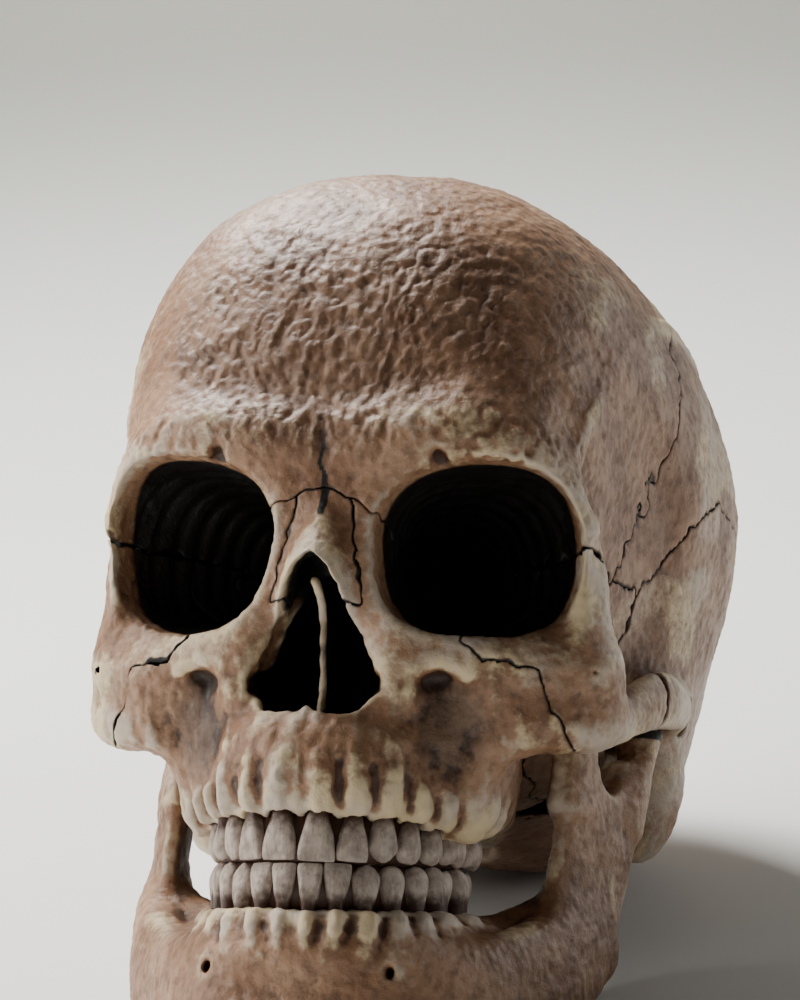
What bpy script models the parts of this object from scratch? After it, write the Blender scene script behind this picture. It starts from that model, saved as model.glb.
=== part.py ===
"""A human skull with its lower jaw, life-size, lying on the base of the jaw and the back of the head.

The anatomy is written in millimetres about the point midway between the ear openings, in the upright
pose of anatomy books: x to the skull's left, y to its back, z up. Rounded forms are blended on a
distance grid, of which only the left half is worked out, then meshed, thinned and parted into bones
along the sutures. The finished bones are tilted back as the skull lies, and scaled to metres.
"""

import math

import bmesh
import bpy
import numpy as np
import openvdb
from mathutils import Matrix, Vector

MM = 0.001
LIE_BACK = math.radians(25.0)
# How far the face below the eyes leans to its right, and how steeply its eyes tilt.
SKEW = 1.4
EYE_TILT = 0.03
GRID_STEP = 1.15
GRID_LOW = (0.0, -112.0, -98.0)
GRID_HIGH = (84.0, 100.0, 126.0)
FAR = 40.0
GAP = 0.3
SHAVE = 0.45
CRANIUM_TRIANGLES = 4800
MANDIBLE_TRIANGLES = 1350

ARCH_Y = -47.0
UPPER_ARCH = (29.0, 46.0)
LOWER_ARCH = (28.2, 45.2)
BITE_Z = -47.6
BITE_RISE = 0.10
BITE_FRONT = -93.0
BITE_GAP = 0.8
TOOTH_SIDES = 8
TOOTH_SEED = 7
# Width along the arch, thickness across it, crown height, and form.
UPPER_TEETH = (
    (8.2, 6.4, 9.0, "incisor"),
    (7.0, 5.8, 8.6, "incisor"),
    (7.4, 7.6, 9.2, "canine"),
    (6.8, 8.6, 8.0, "premolar"),
    (6.6, 8.6, 7.6, "premolar"),
    (9.6, 10.4, 7.4, "molar"),
    (9.0, 10.2, 7.0, "molar"),
)
LOWER_TEETH = (
    (5.6, 5.8, 8.2, "incisor"),
    (6.0, 6.0, 8.2, "incisor"),
    (6.8, 7.2, 8.8, "canine"),
    (6.8, 7.6, 8.0, "premolar"),
    (6.8, 7.8, 7.6, "premolar"),
    (9.8, 9.8, 7.4, "molar"),
    (9.4, 9.6, 7.2, "molar"),
)
SEPTUM_PROFILE = (
    (-94, 7.5),
    (-88, -1),
    (-84, -10),
    (-82.5, -16.4),
    (-57, -16.4),
    (-55, 5),
    (-66, 10.5),
    (-86, 8.4),
)
# Share of the full width and thickness left at the biting edge.
EDGE_SHARE = {
    "incisor": (0.95, 0.26),
    "canine": (0.36, 0.34),
    "premolar": (0.66, 0.66),
    "molar": (0.84, 0.80),
}


def smooth_min(a, b, blend):
    """The smaller distance, rounded where the two are within blend of each other."""
    if blend <= 0:
        return np.minimum(a, b)
    share = np.maximum(blend - np.abs(a - b), 0) / blend
    return np.minimum(a, b) - share * share * blend * 0.25


def smooth_step(values, low, high):
    share = np.clip((values - low) / (high - low), 0, 1)
    return share * share * (3 - 2 * share)


class Shape:
    """A distance function and the box that holds its surface."""

    def __init__(self, at, low, high):
        self.at = at
        self.low = np.array(low, np.float32)
        self.high = np.array(high, np.float32)


class Clay:
    """A grid of distances that shapes are added to, cut from, and pressed into."""

    def __init__(self, low, high, step):
        self.low = np.array(low, np.float32)
        self.step = step
        count = np.ceil((np.array(high) - self.low) / step).astype(int) + 1
        self.distance = np.full(count, FAR, np.float32)

    def window(self, low, high):
        first = np.maximum(np.floor((np.array(low) - self.low) / self.step).astype(int), 0)
        last = np.ceil((np.array(high) - self.low) / self.step).astype(int) + 1
        last = np.minimum(last, self.distance.shape)
        where = tuple(slice(a, max(a, b)) for a, b in zip(first, last))
        axes = []
        for axis, part in enumerate(where):
            line = self.low[axis] + self.step * np.arange(part.start, part.stop, dtype=np.float32)
            axes.append(line.reshape([-1 if k == axis else 1 for k in range(3)]))
        return where, axes

    def add(self, shape, blend=2.0, reach=10.0):
        where, axes = self.window(shape.low - blend - reach, shape.high + blend + reach)
        self.distance[where] = smooth_min(self.distance[where], shape.at(*axes), blend)

    def cut(self, shape, blend=1.0, reach=4.0):
        where, axes = self.window(shape.low - blend - reach, shape.high + blend + reach)
        self.distance[where] = -smooth_min(-self.distance[where], shape.at(*axes), blend)

    def swell(self, shape, height, width):
        """Raises the surface near a shape, fading over width. A negative height presses it in."""
        where, axes = self.window(shape.low - 2.2 * width, shape.high + 2.2 * width)
        away = np.maximum(shape.at(*axes), 0) / width
        self.distance[where] -= height * np.exp(-away * away * 1.6)


def round_distance(parts, sizes, power):
    """Distance to a superellipsoid whose coordinates from its centre are parts."""
    scaled = [np.abs(part) / size for part, size in zip(parts, sizes)]
    radius = np.maximum(sum(s**power for s in scaled), 1e-9) ** (1 / power)
    slope = np.sqrt(sum((s ** (power - 1) / size) ** 2 for s, size in zip(scaled, sizes)))
    slope = slope / np.maximum(radius, 1e-4) ** (power - 1)
    least = min(float(np.min(size)) for size in sizes)
    return np.maximum((radius - 1) / np.maximum(slope, 1e-4), -least)


def ellipsoid(centre, sizes, turn=(0, 0, 0), power=2.0):
    """A rounded blob of half-lengths sizes, turned by degrees about x, then y, then z."""
    spin = Matrix.Rotation(math.radians(turn[2]), 3, "Z")
    spin = spin @ Matrix.Rotation(math.radians(turn[1]), 3, "Y")
    spin = spin @ Matrix.Rotation(math.radians(turn[0]), 3, "X")
    spin = np.array(spin, np.float32)
    middle = np.array(centre, np.float32)
    reach = np.abs(spin) @ np.array(sizes, np.float32)

    def at(x, y, z):
        x, y, z = x - middle[0], y - middle[1], z - middle[2]
        local = [spin[0, k] * x + spin[1, k] * y + spin[2, k] * z for k in range(3)]
        return round_distance(local, [np.float32(size) for size in sizes], power)

    return Shape(at, middle - reach, middle + reach)


def smooth_path(stations, per_span):
    """Rows of numbers with a Catmull-Rom curve run through them."""
    rows = np.array(stations, float)
    padded = np.vstack([2 * rows[0] - rows[1], rows, 2 * rows[-1] - rows[-2]])
    path = []
    for k in range(len(rows) - 1):
        a, b, c, d = padded[k : k + 4]
        for t in np.arange(per_span) / per_span:
            square = (2 * a - 5 * b + 4 * c - d) * t * t
            cube = (3 * b - a - 3 * c + d) * t**3
            path.append(0.5 * (2 * b + (c - a) * t + square + cube))
    path.append(rows[-1])
    return np.array(path)


def sweep(stations, up=(0, 0, 1), per_span=4, power=2.0, blunt=1.0):
    """A bar through stations (x, y, z, half thickness, half height). Its height lies along up."""
    rows = smooth_path(stations, per_span).astype(np.float32)
    points = rows[:, :3]
    half = np.maximum(rows[:, 3:5], 0.3)
    reach = half.max(1, keepdims=True)
    low, high = (points - reach).min(0), (points + reach).max(0)
    up = np.array(up, np.float32)

    def at(x, y, z):
        distance = np.full(np.broadcast_shapes(x.shape, y.shape, z.shape), FAR, np.float32)
        for k in range(len(points) - 1):
            start, end = points[k], points[k + 1]
            along = end - start
            length = float(np.linalg.norm(along))
            along = along / length
            side = np.cross(along, up)
            side = side / float(np.linalg.norm(side))
            tall = np.cross(side, along)
            margin = float(reach[k : k + 2].max()) + 14
            least, most = np.minimum(start, end) - margin, np.maximum(start, end) + margin
            where, from_start = [], []
            for axis, line in enumerate((x, y, z)):
                flat = line.reshape(-1)
                first, last = np.searchsorted(flat, least[axis]), np.searchsorted(flat, most[axis])
                where.append(slice(first, last))
                shape = [-1 if j == axis else 1 for j in range(3)]
                from_start.append(flat[first:last].reshape(shape) - start[axis])
            if any(part.stop <= part.start for part in where):
                continue
            run, across, rise = (
                sum(p * d for p, d in zip(from_start, direction)) for direction in (along, side, tall)
            )
            share = np.clip(run / length, 0, 1)
            thick = half[k, 0] + (half[k + 1, 0] - half[k, 0]) * share
            high_half = half[k, 1] + (half[k + 1, 1] - half[k, 1]) * share
            cap = np.minimum(thick, high_half) * blunt
            where = tuple(where)
            new = round_distance([across, rise, run - share * length], [thick, high_half, cap], power)
            distance[where] = np.minimum(distance[where], new)
        return distance

    return Shape(at, low, high)


def line(points, per_span=3):
    """A thin thread through points, to swell or press along."""
    return sweep([(*p, 0.3, 0.3) for p in points], up=(0.13, 0.21, 1), per_span=per_span)


def arch_at(angle, arch):
    """The point of a tooth row at an angle from the midline, seen from above."""
    return arch[0] * math.sin(angle), ARCH_Y - arch[1] * math.cos(angle)


def arch_out(angle, arch):
    """The direction out of a tooth row, and its radius of curvature, at an angle."""
    out = Vector((math.sin(angle) / arch[0], -math.cos(angle) / arch[1], 0)).normalized()
    speed = math.hypot(arch[0] * math.cos(angle), arch[1] * math.sin(angle))
    return out, speed**3 / (arch[0] * arch[1])


def tooth_angles(teeth, arch):
    """The middle angle of each tooth, with the widths laid end to end along the arch."""
    angles = []
    angle = 0.0
    step = 0.002
    for width, *_ in teeth:
        for half in range(2):
            run = 0.0
            while run < width * 0.5:
                before = arch_at(angle, arch)
                angle += step
                run += math.dist(before, arch_at(angle, arch))
            if half == 0:
                angles.append(angle)
    return angles


def bite_level(y):
    return BITE_Z + BITE_RISE * (y - BITE_FRONT)


def gum(clay, arch, inset, middle, half_height, thick, rise):
    """The ridge of bone that a row of teeth stands in."""
    stations = []
    for degrees in (0, 14, 28, 42, 56, 70, 84, 96):
        x, y = arch_at(math.radians(degrees), (arch[0] - inset, arch[1] - inset))
        z = middle + rise * (y - BITE_FRONT)
        stations.append((x, y, z, thick + 0.02 * degrees, half_height))
    clay.add(sweep(stations, per_span=2, power=3), 5)


def root_ridges(clay, teeth, arch, down, outset):
    """The upright ridges that the roots raise on the outside of the bone."""
    way = 1 if down else -1
    for (width, _, height, form), angle in zip(teeth, tooth_angles(teeth, arch)):
        x, y = arch_at(angle, arch)
        out, _ = arch_out(angle, arch)
        neck = bite_level(y) + way * (height + 1.5)
        long = {"incisor": 8, "canine": 10, "premolar": 7, "molar": 6}[form]
        start = (x + out.x * outset, y + out.y * outset, neck)
        inward = outset - 2.5
        end = (x + out.x * inward, y + out.y * inward, neck + way * long)
        clay.swell(line((start, end), 2), 1.1, width * 0.36)


def braincase(clay):
    clay.add(ellipsoid((0, 11, 46), (70, 79, 72.5)), 0, 60)
    clay.add(ellipsoid((0, -36, 50), (57.5, 58, 61), power=2.35), 20, 30)
    clay.add(ellipsoid((0, 8, 6), (57, 50, 26), power=2.2), 16, 30)
    clay.add(ellipsoid((18, 46, 0), (32, 34, 28)), 22, 24)
    clay.add(ellipsoid((0, -14, -8), (38, 42, 16)), 12, 20)
    clay.swell(ellipsoid((62, -44, 26), (6, 14, 16)), -4.0, 13)


def brow(clay):
    ridge = (
        (0, -90, 38, 6, 6),
        (12, -91.5, 38, 5.5, 6.5),
        (26, -90, 39.5, 5.5, 6),
        (37, -85, 37, 5.5, 6),
        (44.5, -79.5, 31.5, 5, 5.5),
        (48.5, -74.5, 24, 4.2, 4.4),
    )
    clay.add(sweep(ridge), 7)
    clay.add(ellipsoid((28, -70, 46), (17, 17, 17)), 12)


def midface(clay):
    orbit_floor = (
        (49, -69, -5, 4, 4.5),
        (39, -77, -5.9, 3.8, 4.2),
        (29, -81, -4.4, 3.8, 4),
        (20, -84, 0, 3.6, 3.8),
        (12.8, -86.5, 9.5, 3.0, 3.2),
        (10.4, -88, 19, 2.8, 3.2),
        (10.6, -88, 29, 3.6, 4),
    )
    bridge = (
        (0, -83, 34, 8.6, 9),
        (0, -83.5, 24, 6.2, 10.4),
        (0, -85.5, 16, 6.4, 11.8),
        (0, -88, 9, 7.6, 12.6),
        (0, -87.8, 5, 8.2, 11.6),
    )
    flank = (
        (6.8, -88, 24, 3.2, 3.5),
        (9.8, -87.5, 12, 3.3, 4),
        (14, -85.5, 0, 4, 4.4),
        (17.5, -83.5, -12, 4, 5),
    )
    clay.add(sweep(orbit_floor), 5)
    clay.add(ellipsoid((18, -61, -13), (17.5, 24, 26), power=2.4), 8)
    clay.add(ellipsoid((33, -72.5, -9), (13, 8, 11.5), turn=(0, 0, 22), power=2.3), 6)
    clay.add(sweep(bridge, up=(0, -1, 0)), 4)
    clay.add(sweep(flank), 6)
    clay.add(ellipsoid((0, -40, 0), (26, 30, 28)), 10)
    clay.add(ellipsoid((0, -63, -25.5), (24, 25, 5.5), power=2.6), 3)


def cheek(clay):
    outer_rim = (
        (48.5, -73, 25, 6.5, 3.0),
        (49, -68.5, 14, 7.5, 3.0),
        (49.5, -66.5, 4, 7.5, 3.4),
        (49, -67, -5, 7, 5),
    )
    lower_border_and_arch = (
        (27.5, -65, -34, 4.5, 4),
        (28, -69, -27, 4.6, 4),
        (34, -72, -20.5, 5, 4),
        (41, -71, -17.6, 5, 4.2),
        (48.5, -66.5, -16.4, 4.6, 4.3),
        (54, -56, -12.4, 3.8, 4.8),
        (58.5, -42, -6.2, 3, 5.6),
        (60.5, -28, -3, 2.8, 5.8),
        (60.5, -14, -1.6, 3, 5.2),
        (59, -2, 0, 3.4, 4.6),
        (56, 8, 3, 4, 3.6),
    )
    clay.add(sweep(outer_rim, up=(1, 0, 0)), 4)
    clay.add(ellipsoid((46, -67, -7.5), (12.5, 6, 12.5), turn=(0, 0, 38), power=2.5), 6)
    clay.add(ellipsoid((39.5, -55, 8), (6, 19, 23), turn=(0, 0, 38), power=2.4), 6)
    clay.cut(ellipsoid((50, -40, -23), (14, 18, 22), power=2.3), 5)
    clay.add(sweep(lower_border_and_arch), 5)


def nose_opening(x, y, z):
    """Pear-shaped from the front: a rounded lobe each side below, narrowing up to the nasal bones."""
    lobe = np.sqrt((np.abs(x) - 5.0) ** 2 + (z + 11.2) ** 2) - 7.7
    share = np.clip((12.5 - z) / 22.5, 0, 1)
    side = np.abs(x) - 12.7 * share**0.62
    above = np.maximum(side, np.maximum(z - 12.6 + 0.12 * x * x, -12 - z))
    opening = smooth_min(lobe, above, 2)
    return np.maximum(opening, np.maximum(y + 52, -115 - y))


def openings(clay):
    orbit = (
        (32.6, -104, 14.2, 22.6, 18.8),
        (31.2, -86, 16.9, 21.2, 17.3),
        (29.6, -76, 17.8, 19.5, 17.1),
        (23.5, -62, 18.6, 13, 13.3),
        (17, -50, 19, 7, 8),
        (12, -42, 19, 3, 4),
    )
    clay.cut(sweep(orbit, up=(-0.16, 0, 1), power=2.5, blunt=0.4), 2.2)
    clay.cut(Shape(nose_opening, (0, -115, -22), (16, -50, 14)), 1.2)
    clay.cut(ellipsoid((0, -66, -4), (12.5, 20, 17)), 2)
    clay.cut(ellipsoid((0, -88, 10), (5.0, 6.5, 9)), 1)
    clay.swell(ellipsoid((26, -79, -20), (3, 3, 5)), -3.0, 8)


def skull_base(clay):
    clay.add(ellipsoid((51, 10, -14), (8.5, 11, 19), turn=(10, 8, 0)), 6)
    clay.cut(ellipsoid((0, 17, -32), (14.5, 17.5, 16), power=2.5), 2)
    clay.add(ellipsoid((17, 3, -25), (5.5, 11, 6), turn=(0, 0, 22)), 3)
    clay.cut(ellipsoid((64, 2, -1), (14, 4, 4.6)), 2)
    clay.cut(ellipsoid((51.5, -11, -7), (8.8, 7.6, 7.8)), 3)
    wing_plate = ((13, -42, -14, 3, 9), (14, -43, -26, 2.4, 8), (15, -42, -36, 1.8, 6))
    clay.add(sweep(wing_plate, up=(0, 1, 0)), 4)


def cranium_clay():
    clay = Clay(GRID_LOW, GRID_HIGH, GRID_STEP)
    braincase(clay)
    brow(clay)
    midface(clay)
    cheek(clay)
    gum(clay, UPPER_ARCH, 7.5, -21.5, 9.0, 6.0, 0.04)
    gum(clay, UPPER_ARCH, 4.2, -29.9, 9.2, 5.5, 0.08)
    root_ridges(clay, UPPER_TEETH, UPPER_ARCH, True, 0.5)
    openings(clay)
    skull_base(clay)
    return clay


def mandible_clay():
    clay = Clay(GRID_LOW, GRID_HIGH, GRID_STEP)
    body = (
        (0, -85, -75, 6, 14.5),
        (9, -84.5, -75, 6, 14.5),
        (19, -80, -74.5, 5.6, 14),
        (28, -70, -73, 5.4, 12.5),
        (35.5, -56, -68.5, 5.6, 12),
        (41, -43, -63, 6, 12),
        (44.5, -32, -57.5, 5.4, 12),
        (47, -22, -53, 4, 11),
    )
    ramus = (
        (44.2, -28, -54, 15.5, 4.0),
        (45.6, -27.5, -42, 16, 3.6),
        (46.2, -26.5, -28, 16, 3.2),
        (46.5, -26, -16, 15.5, 2.8),
    )
    coronoid = ((42.6, -38.5, -28, 7, 3.0), (43.2, -38.5, -14, 5, 2.8), (44, -38, -5, 2.4, 2.2))
    condyle = ((50.2, -14.5, -28, 6, 3.2), (51.8, -11.5, -16, 4, 3.6), (52, -10.5, -7, 4, 5.6))
    behind_teeth = (
        (25, -54, -61, 5, 7),
        (28.5, -46, -60, 5.5, 7),
        (35, -39, -57, 5, 8),
        (43, -33, -54, 4, 9),
    )
    clay.add(sweep(body, power=2.6), 0, 20)
    clay.add(ellipsoid((0, -89, -83), (15, 5, 6)), 5)
    clay.add(sweep(ramus, up=(1, -0.31, 0), power=2.8), 5)
    clay.add(sweep(coronoid, up=(1, -0.31, 0)), 3)
    clay.add(sweep(condyle, up=(1, 0, 0)), 3)
    clay.cut(ellipsoid((48.5, -25.5, -3), (12, 9, 20), power=2.2), 2)
    gum(clay, LOWER_ARCH, 3.6, -62.5, 6, 4.6, 0.06)
    clay.add(sweep(behind_teeth), 4)
    root_ridges(clay, LOWER_TEETH, LOWER_ARCH, False, 0.5)
    return clay


def mesh_object(name, points, faces):
    mesh = bpy.data.meshes.new(name)
    mesh.from_pydata([tuple(p) for p in points], [], [tuple(f) for f in faces])
    mesh.update()
    obj = bpy.data.objects.new(name, mesh)
    bpy.context.scene.collection.objects.link(obj)
    return obj


def applied(obj):
    """Replaces an object's mesh by what its modifiers make of it."""
    graph = bpy.context.evaluated_depsgraph_get()
    mesh = bpy.data.meshes.new_from_object(obj.evaluated_get(graph))
    obj.modifiers.clear()
    obj.data = mesh
    return obj


def drop(obj):
    bpy.data.objects.remove(obj, do_unlink=True)


def keep_largest(obj):
    """Keeps the closed surface of an object with the most volume, and drops the crumbs."""
    mesh = bmesh.new()
    mesh.from_mesh(obj.data)
    todo = set(mesh.faces)
    shells = []
    while todo:
        shell = {todo.pop()}
        edge_of_shell = set(shell)
        while edge_of_shell:
            near = {f for face in edge_of_shell for edge in face.edges for f in edge.link_faces}
            edge_of_shell = near & todo
            todo -= edge_of_shell
            shell |= edge_of_shell
        shells.append(shell)

    def volume(shell):
        total = 0.0
        for face in shell:
            corners = [v.co for v in face.verts]
            for k in range(1, len(corners) - 1):
                total += corners[0].dot(corners[k].cross(corners[k + 1]))
        return total

    shells.sort(key=volume, reverse=True)
    crumbs = [face for shell in shells[1:] for face in shell]
    bmesh.ops.delete(mesh, geom=crumbs, context="FACES")
    bmesh.ops.delete(mesh, geom=[v for v in mesh.verts if not v.link_faces], context="VERTS")
    bmesh.ops.triangulate(mesh, faces=mesh.faces[:])
    mesh.to_mesh(obj.data)
    mesh.free()
    return obj


def leaned(obj):
    """Bends a mesh as this cast leans: its face below the eyes to its right, its right eye higher."""
    points = np.array([v.co[:] for v in obj.data.vertices])
    x, y, z = points.T
    lower = smooth_step(-z, -22, 8)
    reach = np.maximum(1 - smooth_step(np.abs(x), 22, 48), smooth_step(-z, 25, 50))
    eyes = smooth_step(z, -8, 4) * smooth_step(-z, -50, -38) * smooth_step(-y, 30, 60)
    moved = np.stack([x - SKEW * lower * reach, y, z - EYE_TILT * np.clip(x, -42, 42) * eyes], axis=1)
    obj.data.vertices.foreach_set("co", moved.ravel().astype(np.float32))
    obj.data.update()
    return obj


def cast(name, clay, triangles):
    """The closed mesh of a half grid and its mirror image, thinned to a number of triangles."""
    whole = np.concatenate([clay.distance[:0:-1], clay.distance], axis=0)
    low = clay.low.copy()
    low[0] = -clay.step * (clay.distance.shape[0] - 1)
    grid = openvdb.FloatGrid(FAR)
    band = 3 * clay.step
    grid.copyFromArray(np.clip(whole, -band, band))
    points, triangles_found, quads = grid.convertToPolygons(0.0, 0.0)
    faces = quads[:, ::-1].tolist() + triangles_found[:, ::-1].tolist()
    obj = mesh_object(name, points * clay.step + low, faces)
    thin = obj.modifiers.new("thin", "DECIMATE")
    thin.ratio = triangles / (2 * len(quads) + len(triangles_found))
    return leaned(keep_largest(applied(obj)))


def boolean(obj, other, operation):
    cut = obj.modifiers.new("cut", "BOOLEAN")
    cut.operation = operation
    cut.solver = "EXACT"
    cut.object = other
    return applied(obj)


def copy_of(obj, name):
    twin = bpy.data.objects.new(name, obj.data.copy())
    bpy.context.scene.collection.objects.link(twin)
    return twin


def grown(outline, by):
    """A closed outline moved outwards by a distance. It runs anticlockwise."""
    moved = []
    for k, point in enumerate(outline):
        here = Vector(point)
        before = (here - Vector(outline[k - 1])).normalized()
        after = (Vector(outline[(k + 1) % len(outline)]) - here).normalized()
        corner = Vector((before.y + after.y, -before.x - after.x))
        moved.append(here + corner * (by / (1 + before.dot(after))))
    return moved


def prism(outline, axis, low, high, by):
    """A closed outline drawn out along x, y or z, and grown by a distance on all sides."""
    ring = grown(outline, by)
    points = []
    for level in (low - by, high + by):
        for u, v in ring:
            points.append({"x": (level, u, v), "y": (u, level, v), "z": (u, v, level)}[axis])
    count = len(ring)
    sides = [(k, (k + 1) % count, (k + 1) % count + count, k + count) for k in range(count)]
    faces = sides + [tuple(range(count))[::-1], tuple(range(count, 2 * count))]
    if axis == "y":
        faces = [face[::-1] for face in faces]
    return mesh_object("cutter", points, faces)


def hull(points):
    mesh = bmesh.new()
    for point in points:
        mesh.verts.new(point)
    bmesh.ops.convex_hull(mesh, input=mesh.verts[:])
    bmesh.ops.delete(mesh, geom=[v for v in mesh.verts if not v.link_faces], context="VERTS")
    bmesh.ops.recalc_face_normals(mesh, faces=mesh.faces[:])
    obj = mesh_object("cutter", [], [])
    mesh.to_mesh(obj.data)
    mesh.free()
    return obj


def nasal_region(side, by):
    outline = ((-5.5, 25.6), (-9.5, 4), (9.5, 4), (5.5, 25.2), (0, 27.6))
    return prism(outline, "y", -120, -87.5, by)


def zygomatic_region(side, by):
    front = (
        (28.5, 20),
        (28.5, -2),
        (32.6, -6.6),
        (38.5, -6.2),
        (42.9, -6.9),
        (44.8, -14.5),
        (48.4, -22),
        (49, -50),
        (90, -50),
        (90, 20),
    )
    above = ((26, -130), (90, -130), (90, -38), (52.5, -38), (50.5, -58), (26, -58))
    if side < 0:
        front = [(-x, z) for x, z in front][::-1]
        above = [(-x, y) for x, y in above][::-1]
    region = prism(front, "y", -130, -30, by)
    limit = prism(above, "z", -55, 30, by)
    region = boolean(region, limit, "INTERSECT")
    drop(limit)
    return region


def temporal_region(side, by):
    suture = (
        (-37.7, -24),
        (28, -60),
        (31, -14),
        (37, 3),
        (41, 15),
        (35, 25),
        (27, 36),
        (13, 45),
        (-4, 47),
        (-20, 38),
        (-31, 20),
        (-33, 8),
        (-37.7, 4),
    )
    low, high = (32, 90) if side > 0 else (-90, -32)
    return prism(suture, "x", low, high, by)


def maxilla_region(side, by):
    outline = ((-130, 20), (-130, -70), (-43, -70), (-43, -24), (-51, -22), (-51, 20))
    region = prism(outline, "x", -60, 60, by)
    front = ((-12.5, 10), (12.5, 10), (12.5, 21), (5.5, 25.2), (-5.5, 25.6), (-12.5, 23))
    tip = prism(front, "y", -130, -79, by)
    region = boolean(region, tip, "UNION")
    drop(tip)
    return region


def frontal_region(side, by):
    outline = ((-150, 20), (-45.5, 20), (-12, 118), (-4, 142), (-150, 142))
    return prism(outline, "x", -90, 90, by)


def sphenoid_region(side, by):
    outline = ((-80, 20), (-80, -70), (-8, -70), (-8, -4), (-31, 4), (-33, 20))
    return prism(outline, "x", -90, 90, by)


def occipital_region(side, by):
    heart = Vector((0, -7, -12))
    corners = ((0, 74, 76), (57, 40, 14), (34, -7, -40), (-34, -7, -40), (-57, 40, 14))
    back = Vector((0, 1, 0.1)).normalized() * by * 2.2
    points = [heart - back]
    for corner in map(Vector, corners):
        ray = (corner - heart) * 7
        sideways = Vector((corner.x, 0, corner.z)).normalized() * by * 1.4
        points.append(heart - back + ray + sideways)
    return hull(points)


def parietal_region(side, by):
    low, high = (0.15, 90) if side > 0 else (-90, -0.15)
    return prism(((-60, -60), (120, -60), (120, 140), (-60, 140)), "x", low, high, by)


def part_bones(whole):
    """Takes the bones out of the whole one by one, leaving a thin gap round each."""
    order = (
        ("nasal_bones", nasal_region, 1),
        ("zygomatic_left", zygomatic_region, 1),
        ("zygomatic_right", zygomatic_region, -1),
        ("maxilla", maxilla_region, 1),
        ("temporal_left", temporal_region, 1),
        ("temporal_right", temporal_region, -1),
        ("frontal_bone", frontal_region, 1),
        ("sphenoid", sphenoid_region, 1),
        ("occipital_bone", occipital_region, 1),
        ("parietal_left", parietal_region, 1),
        ("parietal_right", parietal_region, -1),
    )
    bones = {}
    for name, region_of, side in order:
        inside = region_of(side, 0.0)
        bones[name] = keep_largest(boolean(copy_of(whole, name), inside, "INTERSECT"))
        drop(inside)
        around = region_of(side, GAP)
        boolean(whole, around, "DIFFERENCE")
        drop(around)
    drop(whole)
    return bones


def tooth_mesh(tooth, angle, arch, down, side, rng):
    """One crown with a stub of root, as rings stacked from the biting edge to the root's end."""
    width, thick, height, form = tooth
    way = 1 if down else -1
    x, y = arch_at(angle, arch)
    out, radius = arch_out(angle, arch)
    tangent = Vector((-out.y, out.x, 0))
    half_width = width * 0.5 * (0.955 + 0.03 * rng.random())
    half_thick = thick * 0.5
    edge = bite_level(y) + way * (BITE_GAP / 2 + 0.2 * rng.random())
    neck = bite_level(y) + way * height
    edge_width, edge_thick = EDGE_SHARE[form]
    lean = {"incisor": 0.16, "canine": 0.12, "premolar": 0.05, "molar": 0.0}[form]
    stages = (
        (edge, edge_width, edge_thick),
        (edge + (neck - edge) * 0.14, min(1.0, edge_width + 0.24), edge_thick + 0.16),
        (edge + (neck - edge) * 0.42, 1.0, 0.88),
        (edge + (neck - edge) * 0.78, 0.9, 1.0),
        (neck + way * 1.2, 0.76, 0.94),
        (neck + way * 6.0, 0.5, 0.6),
    )
    points = []
    for z, wide, deep in stages:
        inward = half_thick + abs(z - edge) * lean - (1 - deep) * half_thick * 0.35
        for k in range(TOOTH_SIDES):
            turn = 2 * math.pi * (k + 0.5) / TOOTH_SIDES
            across = math.copysign(abs(math.cos(turn)) ** 0.8, math.cos(turn)) * half_width * wide
            depth = math.copysign(abs(math.sin(turn)) ** 0.8, math.sin(turn)) * half_thick * deep - inward
            across *= 1 + depth / radius
            spot = Vector((x, y, 0)) + tangent * across + out * depth
            points.append((spot.x * side, spot.y, z))
    rings = len(stages)
    last = (rings - 1) * TOOTH_SIDES
    faces = [tuple(range(TOOTH_SIDES)), tuple(range(last, last + TOOTH_SIDES))[::-1]]
    for ring in range(rings - 1):
        for k in range(TOOTH_SIDES):
            a, b = ring * TOOTH_SIDES + k, ring * TOOTH_SIDES + (k + 1) % TOOTH_SIDES
            faces.append((a, a + TOOTH_SIDES, b + TOOTH_SIDES, b))
    return points, faces


def row_of_teeth(teeth, arch, down, rng):
    points, faces = [], []
    for side in (-1, 1):
        for tooth, angle in zip(teeth, tooth_angles(teeth, arch)):
            new_points, new_faces = tooth_mesh(tooth, angle, arch, down, side, rng)
            start = len(points)
            points += new_points
            faces += [tuple(start + k for k in face) for face in new_faces]
    obj = mesh_object("teeth", points, faces)
    mesh = bmesh.new()
    mesh.from_mesh(obj.data)
    bmesh.ops.recalc_face_normals(mesh, faces=mesh.faces[:])
    mesh.to_mesh(obj.data)
    mesh.free()
    return leaned(obj)


def nasal_septum():
    """The thin bowed plate that divides the nose opening."""
    half_thick = 0.8
    points = []
    for face in (-1, 1):
        for y, z in SEPTUM_PROFILE:
            bow = 1.6 * math.sin(math.pi * (z + 19) / 28) * (-y - 54) / 40
            points.append((bow + face * half_thick, y, z))
    count = len(SEPTUM_PROFILE)
    sides = [(k, (k + 1) % count, (k + 1) % count + count, k + count) for k in range(count)]
    faces = sides + [tuple(range(count))[::-1], tuple(range(count, 2 * count))]
    obj = mesh_object("nasal_septum", points, faces)
    mesh = bmesh.new()
    mesh.from_mesh(obj.data)
    bmesh.ops.triangulate(mesh, faces=mesh.faces[:])
    bmesh.ops.recalc_face_normals(mesh, faces=mesh.faces[:])
    mesh.to_mesh(obj.data)
    mesh.free()
    return leaned(obj)


def floor_block():
    """A wide block whose top is the floor."""
    half, deep = 0.3, 0.05
    corners = ((-half, -half), (half, -half), (half, half), (-half, half))
    points = [(x, y, z) for z in (-deep, 0) for x, y in corners]
    sides = [(k, (k + 1) % 4, (k + 1) % 4 + 4, k + 4) for k in range(4)]
    return mesh_object("cutter", points, [(3, 2, 1, 0), (4, 5, 6, 7)] + sides)


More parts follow.
